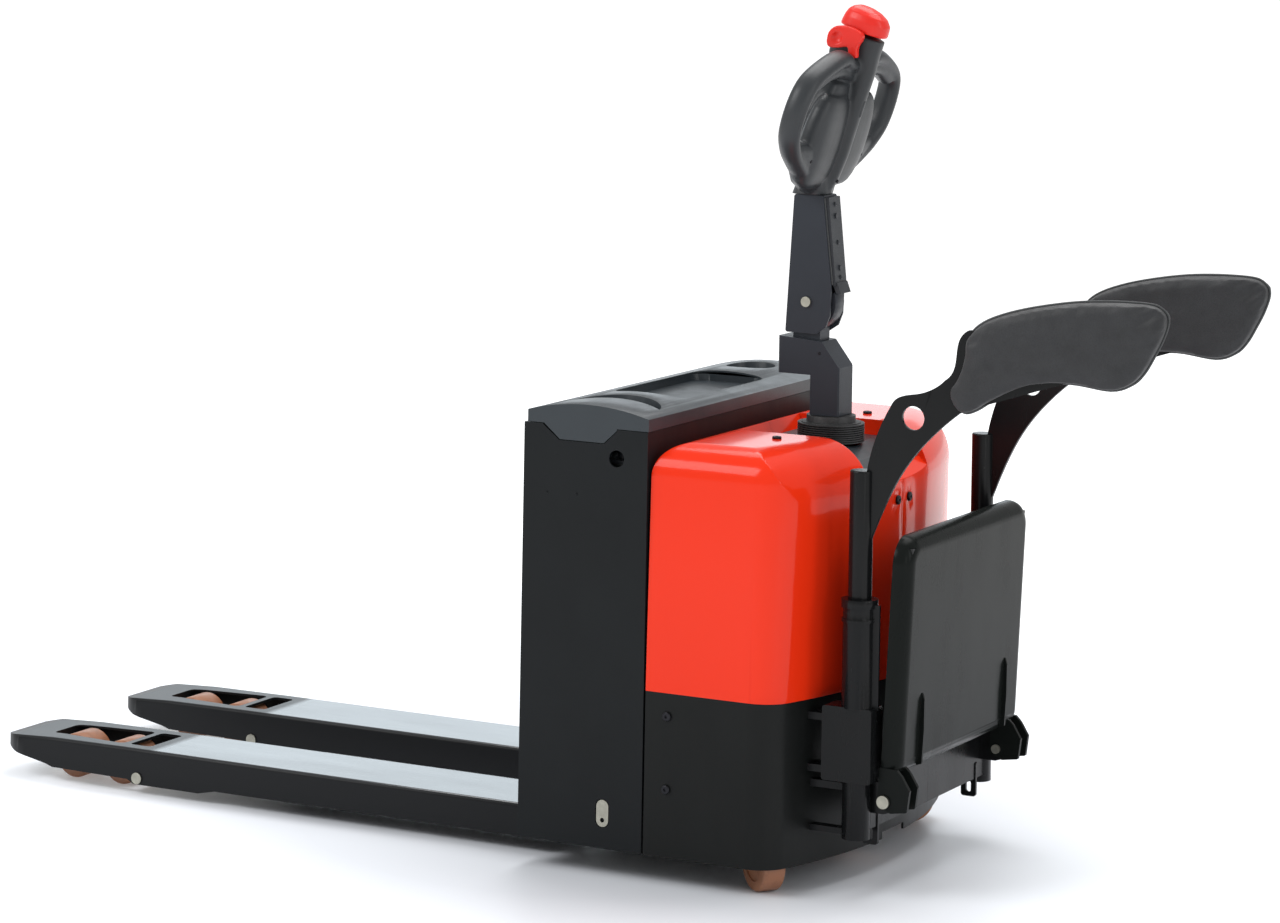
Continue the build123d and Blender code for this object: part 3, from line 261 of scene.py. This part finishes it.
def plated(name, color, rough=0.32, stretch=(1, 1, 1)):
    """Plated or turned metal with fine tool marks and dull patches."""
    s = Shader(name)
    patches = s.band(s.noise(90.0, 4), 0.3, 0.75)
    base = s.mix(patches, color, tuple(c * 0.75 for c in color))
    marks = s.noise(900.0, 3, 0.6, stretch)
    material = s.surface(base, s.band(marks, 0.25, 0.75, rough - 0.08, rough + 0.14), metal=1.0)
    s.bump(marks, 0.15, 0.0002)
    return material


def casting(name, color):
    """Rough sand casting under a thin coat."""
    s = Shader(name)
    pits = s.noise(320.0, 6, 0.7)
    base = s.mix(s.band(pits, 0.3, 0.7), tuple(c * 0.6 for c in color), color)
    material = s.surface(base, s.band(pits, 0.3, 0.7, 0.5, 0.75), metal=0.35)
    s.bump(pits, 0.5, 0.0008)
    return material


BLACK = powder_coat("black_powder_coat", (0.0058, 0.0066, 0.0064), 0.42)
BOX_COAT = powder_coat("box_powder_coat", (0.0062, 0.0076, 0.0086), 0.40, grain=700.0, depth=0.15)
FORK_COAT = fork_coat()
TUBE_COAT = powder_coat("tube_gloss_coat", (0.006, 0.0065, 0.007), 0.24, grain=500.0, depth=0.10)
PLATFORM = powder_coat("platform_satin_coat", (0.0080, 0.0095, 0.0088), 0.24, grain=600.0, depth=0.10, specular=0.06)
HOOD = gloss_shell("orange_gloss_shell", (0.76, 0.028, 0.005))
LID = moulded("lid_grained_plastic", (0.025, 0.032, 0.038), 0.34, specular=0.34)
HANDLE = moulded("handle_moulded_plastic", (0.028, 0.031, 0.034), 0.38, grain=1500.0, depth=0.12)
COVER = moulded("cover_moulded_plastic", (0.020, 0.023, 0.028), 0.42)
TILLER_COAT = powder_coat("tiller_powder_coat", (0.028, 0.032, 0.040), 0.36)
RED = moulded("red_switch_plastic", (0.70, 0.022, 0.014), 0.30, grain=1500.0, depth=0.06)
PALE_PLASTIC = moulded("pale_moulded_plastic", (0.55, 0.53, 0.46), 0.45)
BELLOWS = rubber("bellows_rubber", (0.010, 0.010, 0.011), 0.5)
MAT = rubber("mat_rubber", (0.016, 0.016, 0.017))
PAD = leather_skin("pad_grained_skin", (0.0140, 0.0150, 0.0172))
# The seam welt is lighter than the pad skin: on the pads this is a painted highlight along the lit rim.
SEAM = moulded("pad_seam_welt", (0.055, 0.058, 0.060), 0.5)
WHEEL = urethane("amber_polyurethane", (0.30, 0.125, 0.062))
TYRE = urethane("drive_tyre_polyurethane", (0.20, 0.075, 0.03))
ZINC = plated("zinc_plated_steel", (0.40, 0.39, 0.33), 0.36)
DARK_SCREW = plated("blackened_steel", (0.03, 0.03, 0.034), 0.38)
CHROME = plated("hard_chrome", (0.8, 0.8, 0.82), 0.12, (1, 1, 0.02))
CAST = casting("painted_casting", (0.08, 0.082, 0.088))
ALLOY = casting("die_cast_alloy", (0.45, 0.45, 0.46))

FINISH = {
    BLACK: ("chassis_frame", "skirt_cover", "castor_fork_left", "castor_fork_right", "battery_tray"),
    TILLER_COAT: ("gooseneck", "tiller_arm"),
    BOX_COAT: ("battery_box",),
    FORK_COAT: ("fork_left", "fork_right"),
    TUBE_COAT: ("guard_bracket_left", "guard_bracket_right", "guard_post_left", "guard_post_right"),
    PLATFORM: ("platform_pan",),
    HOOD: ("hood_left", "hood_right"),
    LID: ("battery_lid", "hood_deck"),
    HANDLE: ("handle_body", "handle_loops"),
    COVER: ("tiller_front_cover", "lift_switch", "battery_cells"),
    RED: ("throttle_butterfly", "reverse_button"),
    PALE_PLASTIC: ("entry_roller_left", "entry_roller_right", "oil_tank"),
    BELLOWS: ("column_bellows",),
    MAT: ("platform_mat",),
    PAD: ("guard_pad_left", "guard_pad_right"),
    WHEEL: ("load_wheel_left_front", "load_wheel_left_rear", "load_wheel_right_front",
            "load_wheel_right_rear", "castor_wheel_left", "castor_wheel_right"),
    TYRE: ("drive_wheel_tyre",),
    ZINC: ("shaft_retainers", "carrier_pins", "tiller_pivot_bolt", "platform_hinge_pins", "lift_rocker",
           "push_rod_left", "push_rod_right", "wheel_carrier_left", "wheel_carrier_right",
           "bogie_left", "bogie_right", "bearing_outer_ring"),
    DARK_SCREW: ("cover_screws",),
    CHROME: ("lift_rod",),
    CAST: ("gearbox", "drive_wheel_hub", "lift_cylinder"),
    ALLOY: ("traction_motor", "pump_motor", "motor_controller"),
}


def finish_nodes():
    """Give every carried-over node its material and softened edges."""
    for material, names in FINISH.items():
        for name in names:
            obj = nodes[name]
            obj.data.materials.clear()
            obj.data.materials.append(material)
            weld = obj.modifiers.new("weld", "WELD")
            weld.merge_threshold = 0.00002
            if name == "skirt_cover":
                continue
            soften = obj.modifiers.new("soften", "BEVEL")
            soften.width = 0.0009
            soften.segments = 2
            soften.limit_method = "ANGLE"
            soften.angle_limit = math.radians(40)
            soften.harden_normals = True


# ---- mesh helpers ----------------------------------------------------------------------------------
def design(x, y, z):
    """Row-frame place of a point given in design millimetres."""
    return Vector(((x + DESIGN_SHIFT) / 1000, y / 1000, z / 1000))


def on_head(n, u, v):
    """Row-frame place of a head point: n out to the operator, u to the right, v up the lean."""
    return HEAD @ Vector((n / 1000, u / 1000, v / 1000))


def mesh_piece(name, points, faces, material=None):
    mesh = bpy.data.meshes.new(name)
    mesh.from_pydata([tuple(p) for p in points], [], faces)
    mesh.update()
    obj = bpy.data.objects.new(name, mesh)
    bpy.context.scene.collection.objects.link(obj)
    if material:
        mesh.materials.append(material)
    return obj


def skin(rings, closed=False):
    """Points and faces of a surface through equal rings, capped at both ends unless closed."""
    count = len(rings[0])
    points = [p for ring in rings for p in ring]
    faces = []
    for i in range(len(rings) if closed else len(rings) - 1):
        a, b = i * count, (i + 1) % len(rings) * count
        faces += [(a + k, a + (k + 1) % count, b + (k + 1) % count, b + k) for k in range(count)]
    if not closed:
        faces.append(tuple(reversed(range(count))))
        faces.append(tuple(range(len(points) - count, len(points))))
    return points, faces


def flowing(points, steps, closed=False):
    """Catmull-Rom curve through the points."""
    pts = [Vector(p) for p in points]
    out = []
    last = len(pts) if closed else len(pts) - 1
    for i in range(last):
        if closed:
            a, b, c, d = (pts[(i + k) % len(pts)] for k in (-1, 0, 1, 2))
        else:
            b, c = pts[i], pts[i + 1]
            a = pts[i - 1] if i else b * 2 - c
            d = pts[i + 2] if i + 2 < len(pts) else c * 2 - b
        for k in range(steps):
            t = k / steps
            out.append(0.5 * (2 * b + (c - a) * t + (2 * a - 5 * b + 4 * c - d) * t * t
                              + (3 * b - a - 3 * c + d) * t ** 3))
    return out if closed else out + [pts[-1]]


def swept(path, side, wide, high, count=20, closed=False):
    """Rings of an elliptic tube along a path; side is the fixed direction of the wide radius."""
    rings = []
    for i, place in enumerate(path):
        ahead = path[(i + 1) % len(path)] if closed or i + 1 < len(path) else place
        behind = path[i - 1] if closed or i else place
        along = (ahead - behind).normalized()
        across = along.cross(side).normalized()
        turns = [2 * math.pi * k / count for k in range(count)]
        rings.append([place + side * (wide * math.cos(t)) + across * (high * math.sin(t)) for t in turns])
    return rings


def stacked(sections, count=36, squareness=1.0):
    """Rings of a head part: each section is v, n of its centre, radius along n, radius along u."""
    def shaped(value):
        return math.copysign(abs(value) ** squareness, value)
    rings = []
    for v, n, rn, ru in sections:
        turns = [2 * math.pi * k / count for k in range(count)]
        rings.append([on_head(n + rn * shaped(math.cos(t)), ru * shaped(math.sin(t)), v) for t in turns])
    return rings


def slab(outline, place, low, high):
    """Rings of a flat piece: outline is a list of pairs, place turns (a, depth, b) into a point."""
    return [[place(a, depth, b) for a, b in outline] for depth in (low, high)]


def fused(name, parts, voxel, passes, material, cut_below=None):
    """Join closed surfaces into one skin with rounded meetings."""
    points, faces = [], []
    for part_points, part_faces in parts:
        base = len(points)
        points += part_points
        faces += [tuple(base + i for i in face) for face in part_faces]
    rough = mesh_piece(name + "_rough", points, faces)
    join = rough.modifiers.new("join", "REMESH")
    join.mode = "VOXEL"
    join.voxel_size = voxel
    ease = rough.modifiers.new("ease", "SMOOTH")
    ease.factor = 0.5
    ease.iterations = passes
    obj = baked(rough, name, material)
    if cut_below is not None:
        bm = bmesh.new()
        bm.from_mesh(obj.data)
        everything = bm.verts[:] + bm.edges[:] + bm.faces[:]
        cut = bmesh.ops.bisect_plane(bm, geom=everything, plane_co=(0, 0, cut_below), plane_no=(0, 0, -1),
                                     clear_outer=True)
        rim = [g for g in cut["geom_cut"] if isinstance(g, bmesh.types.BMEdge)]
        bmesh.ops.contextual_create(bm, geom=rim)
        bm.to_mesh(obj.data)
        bm.free()
    return obj


def baked(source, name, material):
    """A plain mesh object from source with its modifiers applied; source is removed."""
    graph = bpy.context.evaluated_depsgraph_get()
    mesh = bpy.data.meshes.new_from_object(source.evaluated_get(graph))
    mesh.name = name
    mesh.materials.clear()
    mesh.materials.append(material)
    mesh.polygons.foreach_set("use_smooth", [True] * len(mesh.polygons))
    obj = bpy.data.objects.new(name, mesh)
    bpy.context.scene.collection.objects.link(obj)
    bpy.data.objects.remove(source, do_unlink=True)
    return obj


def mirrored(obj, name):
    """A copy of obj on the other side of the mid-plane."""
    twin = obj.copy()
    twin.data = obj.data.copy()
    twin.name = twin.data.name = name
    twin.data.transform(Matrix.Scale(-1, 4, (0, 1, 0)))
    twin.data.flip_normals()
    bpy.context.scene.collection.objects.link(twin)
    return twin


# ---- guard pads ------------------------------------------------------------------------------------
def toed(point):
    """Turn a left guard point about its post, so that the arm points slightly inwards."""
    post = Vector((GUARD_POST_X, -PAD_PLANE, 0))
    return post + Matrix.Rotation(math.radians(GUARD_TOE), 3, "Z") @ (point - post)


def pad_outline():
    """Side view of the pad, X and Z in millimetres, as one smooth closed line."""
    corners = [(773, 946), (800, 975), (858, 998), (940, 1016), (1010, 1024), (1080, 1025), (1106, 1019),
               (1118, 1002), (1110, 972), (1094, 940), (1078, 913), (1058, 894), (1022, 882), (951, 888),
               (880, 879), (822, 852), (790, 832), (768, 826), (752, 842), (748, 862), (762, 884), (771, 915)]
    return flowing([(x, z, 0) for x, z in corners], 5, closed=True)


def pad_place(x, depth, z):
    return toed(design(x, 0, z) + Vector((0, depth - PAD_PLANE, 0)))


def guard_pads():
    """Filled pads: a closed bag is blown up a little as cloth, then gets its welted seam, whose lighter colour is a
    painted highlight along the lit rim.
    """
    line = [(p.x, p.y) for p in pad_outline()]
    points, faces = skin(slab(line, pad_place, -PAD_HALF, PAD_HALF))
    bag = mesh_piece("pad_bag", points, faces)
    join = bag.modifiers.new("join", "REMESH")
    join.mode = "VOXEL"
    join.voxel_size = 0.005
    ease = bag.modifiers.new("ease", "SMOOTH")
    ease.factor = 0.5
    ease.iterations = 3
    bag = baked(bag, "pad_bag", PAD)
    fill_bag(bag)
    smooth = bag.modifiers.new("smooth", "SUBSURF")
    smooth.levels = smooth.render_levels = 1
    left = baked(bag, "pad_skin_left", PAD)
    path = [pad_place(x, 0, z) for x, z in line]
    path = [path[i] + outward(path, i) * 0.0012 for i in range(len(path))]
    # Lighter welt round the pad's rim: its colour is a painted highlight of the lit rim.
    seam = mesh_piece("pad_seam_left", *skin(swept(path, Vector((0, 1, 0)), 0.0016, 0.0022, 8, True), True),
                      SEAM)
    seam.data.polygons.foreach_set("use_smooth", [True] * len(seam.data.polygons))
    for piece in (left, seam):
        twin = mirrored(piece, piece.name.replace("left", "right"))
        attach(piece, "guard_left")
        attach(twin, "guard_right")
        if piece is left:
            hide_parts("guard_pad_left")
            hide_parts("guard_pad_right")


def outward(path, i):
    """Direction out of a clockwise closed line, in its own plane."""
    along = path[(i + 1) % len(path)] - path[i - 1]
    return Vector((-along.z, 0, along.x)).normalized()


def fill_bag(bag):
    """Blow the bag up with its seam held, and cap how far any point moves."""
    rest = [v.co.copy() for v in bag.data.vertices]
    held = bag.vertex_groups.new(name="held")
    for v in bag.data.vertices:
        middle = abs(toe_depth(v.co))
        if middle < 0.006:
            held.add([v.index], 1.0, "REPLACE")
    cloth = bag.modifiers.new("cloth", "CLOTH")
    settings = cloth.settings
    settings.use_pressure = True
    settings.uniform_pressure_force = 4.0
    settings.vertex_group_mass = "held"
    settings.tension_stiffness = settings.compression_stiffness = 20.0
    settings.effector_weights.gravity = 0.0
    settings.quality = 5
    scene = bpy.context.scene
    for step in range(1, 21):
        scene.frame_set(step)
    graph = bpy.context.evaluated_depsgraph_get()
    blown = [v.co.copy() for v in bag.evaluated_get(graph).data.vertices]
    bag.modifiers.remove(cloth)
    for v, old, new in zip(bag.data.vertices, rest, blown):
        move = new - old
        v.co = old + move * min(1.0, 0.0035 / max(move.length, 1e-9))
    scene.frame_set(1)


def toe_depth(point):
    """Distance of a point from the left pad's own middle plane."""
    post = Vector((GUARD_POST_X, -PAD_PLANE, 0))
    flat = Matrix.Rotation(math.radians(-GUARD_TOE), 3, "Z") @ (point - post)
    return flat.y


# ---- tiller head -----------------------------------------------------------------------------------
def hand_loop(side):
    """Rings of one hand loop."""
    line = [(-64, 10), (-88, 25), (-122, 44), (-157, 68), (-183, 102), (-187, 152), (-168, 193), (-112, 221),
            (-66, 232), (-38, 223), (-12, 219)]
    path = flowing([on_head(0, u * -side, v) for u, v in line], 8)
    return swept(path, head_out(), 0.021, 0.0145)


def loop_web(side):
    """Rings of the web that thickens a hand loop towards the mast."""
    line = [(-158, 186), (-112, 205), (-62, 210), (-12, 200)]
    path = flowing([on_head(-2, u * -side, v) for u, v in line], 8)
    return swept(path, head_out(), 0.018, 0.0135)


def head_out():
    """Direction out of the head towards the operator."""
    return (HEAD.to_3x3() @ Vector((1, 0, 0))).normalized()


def bulge(side):
    """Rings of the rounded swelling beside the spine."""
    sections = []
    for step in range(1, 12):
        t = math.pi * step / 12
        share = math.sin(t) ** 0.5
        sections.append((82 - 88 * math.cos(t), 5, 25 * share, 62 * share))
    rings = stacked(sections, squareness=0.75)
    lean = HEAD.to_3x3() @ Vector((0, 1, 0))
    return [[p + lean * (side * 0.052) for p in ring] for ring in rings]


def tiller_head():
    """Shield-shaped pod with two swellings, a spine and two hand loops, moulded as one body."""
    shield = stacked([(-18, -4, 14, 40), (0, -2, 21, 84), (24, 0, 24, 113), (44, 0, 24.5, 136), (60, 0, 24.5, 153),
                      (72, 0, 22, 163), (80, 0, 15, 163)], squareness=0.6)
    core = stacked([(-10, -8, 20, 50), (20, -10, 26, 74), (70, -12, 28, 86), (130, -12, 28, 84), (170, -12, 27, 76),
                    (186, -12, 24, 66), (192, -12, 16, 50)], squareness=0.5)
    neck = stacked([(-44, -2, 33, 29), (-14, -1, 32, 33), (20, 0, 26, 46)], squareness=0.8)
    spine = stacked([(-10, 12, 18, 13), (14, 16, 20, 15), (60, 20, 20, 16), (150, 20, 20, 17), (215, 12, 29, 20),
                     (246, 2, 37, 23), (273.5, -2, 41, 25)], squareness=0.8)
    shoulder = stacked([(196, -14, 24, 24), (226, -19, 31, 28), (252, -22, 30, 27), (268, -22, 22, 22)],
                       squareness=0.7)
    rings = [shield, core, neck, spine, shoulder]
    for side in (-1, 1):
        rings += [bulge(side), hand_loop(side), loop_web(side)]
    head = fused("tiller_head", [skin(r) for r in rings], 0.0024, 7, HANDLE, cut_below=1.1468)
    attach(head, "tiller")
    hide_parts("handle_body", "handle_loops")
    cap = stacked([(280, -3, 43, 29), (284, -3, 44, 30.5), (300, -2, 42, 30), (310, -4, 36, 27), (317, -7, 26, 20),
                   (321.5, -10, 13, 10)], squareness=0.85)
    dome = fused("red_cap", [skin(cap)], 0.0018, 4, RED)
    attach(dome, "reverse_button")
    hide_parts("reverse_button")
    thumb_rocker()
    lift_button()
    head_screws()


def lift_button():
    """Low oval button for lifting and lowering, flush with the spine."""
    rings = stacked([(132, 33, 6.0, 5), (136, 33, 8.6, 8), (150, 33, 8.2, 9), (164, 33, 8.6, 8), (168, 33, 6.0, 5)])
    button = fused("lift_button", [skin(rings)], 0.0012, 3, HANDLE)
    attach(button, "lift_switch")
    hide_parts("lift_switch")


def thumb_rocker():
    """Red rocker with a dished wing on each side of the mast."""
    outline = [(-43, 240), (-48, 262), (-36, 279), (-10, 285), (12, 282), (16, 272), (12, 256), (16, 238),
               (1, 238), (-5, 250), (-14, 247), (-27, 241)]
    parts = []
    for side in (-1, 1):
        line = [(p.x, p.y) for p in flowing([(a, b, 0) for a, b in outline], 3, closed=True)]
        wing = slab(line, lambda n, u, v: on_head(n, u, v), *sorted((side * 31, side * 44)))
        parts.append(skin(wing))
    shaft = swept([on_head(-8, -36, 264), on_head(-8, 36, 264)], Vector((0, 0, 1)), 0.009, 0.009)
    parts.append(skin(shaft))
    rocker = fused("thumb_rocker", parts, 0.0016, 5, RED)
    for v in rocker.data.vertices:
        local = HEAD.inverted() @ v.co
        reach = math.hypot(local.x + 0.029, local.z - 0.259)
        depth = 0.005 * max(0.0, 1 - (reach / 0.011) ** 2)
        if abs(local.y) > 0.038:
            v.co.y -= math.copysign(depth, local.y)
    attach(rocker, "throttle")
    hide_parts("throttle_butterfly")


def socket_screw(place, facing, radius, height):
    """Rings of a small domed screw head with a recess."""
    facing = facing.normalized()
    a = facing.orthogonal().normalized()
    b = facing.cross(a)
    rings = []
    for share, lift in ((1.0, -0.6), (1.0, 0.35), (0.85, 0.8), (0.5, 1.0), (0.42, 0.95), (0.38, 0.2), (0.05, 0.15)):
        turns = [2 * math.pi * k / 18 for k in range(18)]
        rings.append([place + facing * (height * lift) + (a * math.cos(t) + b * math.sin(t)) * (radius * share)
                      for t in turns])
    return rings


def screws(name, spots, radius, height, body, material):
    """One piece of screws, each spot a place and the direction it faces."""
    points, faces = [], []
    for place, facing in spots:
        more_points, more_faces = skin(socket_screw(place, facing, radius, height))
        base = len(points)
        points += more_points
        faces += [tuple(base + i for i in face) for face in more_faces]
    obj = mesh_piece(name, points, faces, material)
    obj.data.polygons.foreach_set("use_smooth", [True] * len(obj.data.polygons))
    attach(obj, body)
    return obj


def head_screws():
    out = head_out()
    spots = [(on_head(21.5, side * 104, 52), out) for side in (-1, 1)] + [(on_head(37, 0, 14), out)]
    screws("head_screws", spots, 0.0034, 0.0012, "tiller", DARK_SCREW)


# ---- small fittings --------------------------------------------------------------------------------
def fittings():
    left, back = Vector((0, -1, 0)), Vector((1, 0, 0))
    rivets = [(design(x, side * 367.2, z), Vector((0, side, 0))) for side in (-1, 1) for x, z in ((46, 643), (103, 645))]
    screws("box_rivets", rivets, 0.0022, 0.0010, "lift_frame", BOX_COAT)
    cover = [(design(424 - (z - 990) * 0.1046 + 0.6, 0, z), back) for z in (1004, 1064, 1130)]
    screws("cover_buttons", cover, 0.0040, 0.0016, "tiller", COVER)
    neck = [(design(398, side * 30.1, 872), Vector((0, side, 0))) for side in (-1, 1)]
    screws("neck_screws", neck, 0.0028, 0.0008, "drive_unit", DARK_SCREW)
    guard = [(design(405, side * 18.4, 936), Vector((0, side, 0))) for side in (-1, 1)]
    screws("guard_screws", guard, 0.0052, 0.0030, "drive_unit", ZINC)
    edge_strips()


def edge_strips():
    """Pale rubber strips along both seams of the tiller's front cover."""
    for side, word in SIDES:
        line = [design(417.6, side * 24.0, 992), design(408, side * 24.0, 1070), design(399.8, side * 24.0, 1142)]
        rings = swept(flowing(line, 6), Vector((0, 1, 0)), 0.0014, 0.0022, 10)
        strip = mesh_piece(f"edge_strip_{word}", *skin(rings), SEAM)
        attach(strip, "tiller")


# ---- stage, light and camera ------------------------------------------------------------------------
def studio():
    """Floor painted bluish grey round the truck as painted shade, turning white and glowing more with distance as
    painted light; white surroundings and soft boxes.
    """
    bpy.ops.mesh.primitive_plane_add(size=500, location=(0, 0, 0))
    floor = bpy.context.object
    floor.name = "studio_floor"
    s = Shader("floor_painted_shade_and_glow")
    length = s.add("ShaderNodeVectorMath", operation="LENGTH")
    s.link(s.place, length.inputs[0])
    # Painted shade: the floor is bluish grey round the truck and fades to almost white further out.
    far = s.band(length.outputs["Value"], 1.1, 3.4)
    floor.data.materials.append(s.surface(s.mix(far, (0.74, 0.765, 0.81), (0.95, 0.95, 0.95)), 0.45, specular=0.3))
    s.put(s.bsdf.inputs["Emission Color"], (1.0, 1.0, 1.0, 1.0))
    # Painted light: the floor glows, more strongly with distance from the truck.
    painted_glow = s.band(length.outputs["Value"], 0.55, 1.0, 0.0, 0.25)
    s.put(s.bsdf.inputs["Emission Strength"], s.math("ADD", painted_glow, s.band(length.outputs["Value"], 1.1, 4.4, 0.0, 0.3)))
    world = bpy.data.worlds.new("studio_world")
    world.use_nodes = True
    world.node_tree.nodes["Background"].inputs[0].default_value = (1.0, 1.0, 1.0, 1.0)
    seen = world.node_tree.nodes.new("ShaderNodeLightPath")
    strength = world.node_tree.nodes.new("ShaderNodeMapRange")
    strength.inputs["To Min"].default_value = 0.62
    world.node_tree.links.new(seen.outputs["Is Camera Ray"], strength.inputs["Value"])
    world.node_tree.links.new(strength.outputs[0], world.node_tree.nodes["Background"].inputs[1])
    bpy.context.scene.world = world
    soft_box("key_box", (-2.6, -3.4, 3.8), (0.1, 0, 0.4), 3.0, 2.2, 140)
    soft_box("side_box", (4.2, -0.6, 2.4), (0.4, 0, 0.5), 0.7, 3.0, 28)
    soft_box("top_box", (0.2, 1.2, 4.2), (0, 0, 0.4), 3.5, 2.5, 120)
    soft_box("strip_box", (3.9, -2.4, 1.6), (0.5, 0, 0.5), 0.25, 2.2, 12)
    soft_box("back_box", (-3.6, 6.0, 1.75), (0, 0, 0.2), 7.0, 1.5, 38, (0.80, 0.92, 1.0))


def soft_box(name, place, target, width, height, power, tint=(1.0, 1.0, 1.0)):
    light = bpy.data.lights.new(name, "AREA")
    light.shape = "RECTANGLE"
    light.size, light.size_y = width, height
    light.energy = power
    light.color = tint
    obj = bpy.data.objects.new(name, light)
    bpy.context.scene.collection.objects.link(obj)
    obj.location = place
    obj.rotation_euler = (Vector(target) - Vector(place)).to_track_quat("-Z", "Y").to_euler()


def shift_at_shot(data, channel, amount, obj):
    """Shift the lens only while the camera stands at the product shot; elsewhere it is centred."""
    driver = data.driver_add(channel).driver
    driver.type = "SCRIPTED"
    place = driver.variables.new()
    place.name = "x"
    place.type = "TRANSFORMS"
    place.targets[0].id = obj
    place.targets[0].transform_type = "LOC_X"
    driver.expression = f"{amount} if abs(x - {SHOT_X}) < 0.001 else 0.0"


def camera():
    """A level camera with a vertical shift, as an architectural product shot is taken."""
    data = bpy.data.cameras.new("camera")
    data.sensor_width = 36.0
    data.lens = 122.63
    obj = bpy.data.objects.new("camera", data)
    bpy.context.scene.collection.objects.link(obj)
    turn = Matrix.Rotation(math.radians(28.331), 4, "Z") @ Matrix.Rotation(math.radians(90), 4, "X")
    roll = Matrix.Rotation(0.0176, 4, "Z")
    obj.matrix_world = Matrix.Translation((SHOT_X, -6.9338, 1.8214)) @ turn @ roll
    bpy.context.scene.camera = obj
    for channel, amount in (("shift_x", 0.0651), ("shift_y", -0.5144)):
        shift_at_shot(data, channel, amount, obj)
    bpy.context.scene.view_settings.view_transform = "Standard"


finish_nodes()
guard_pads()
tiller_head()
fittings()
studio()
camera()
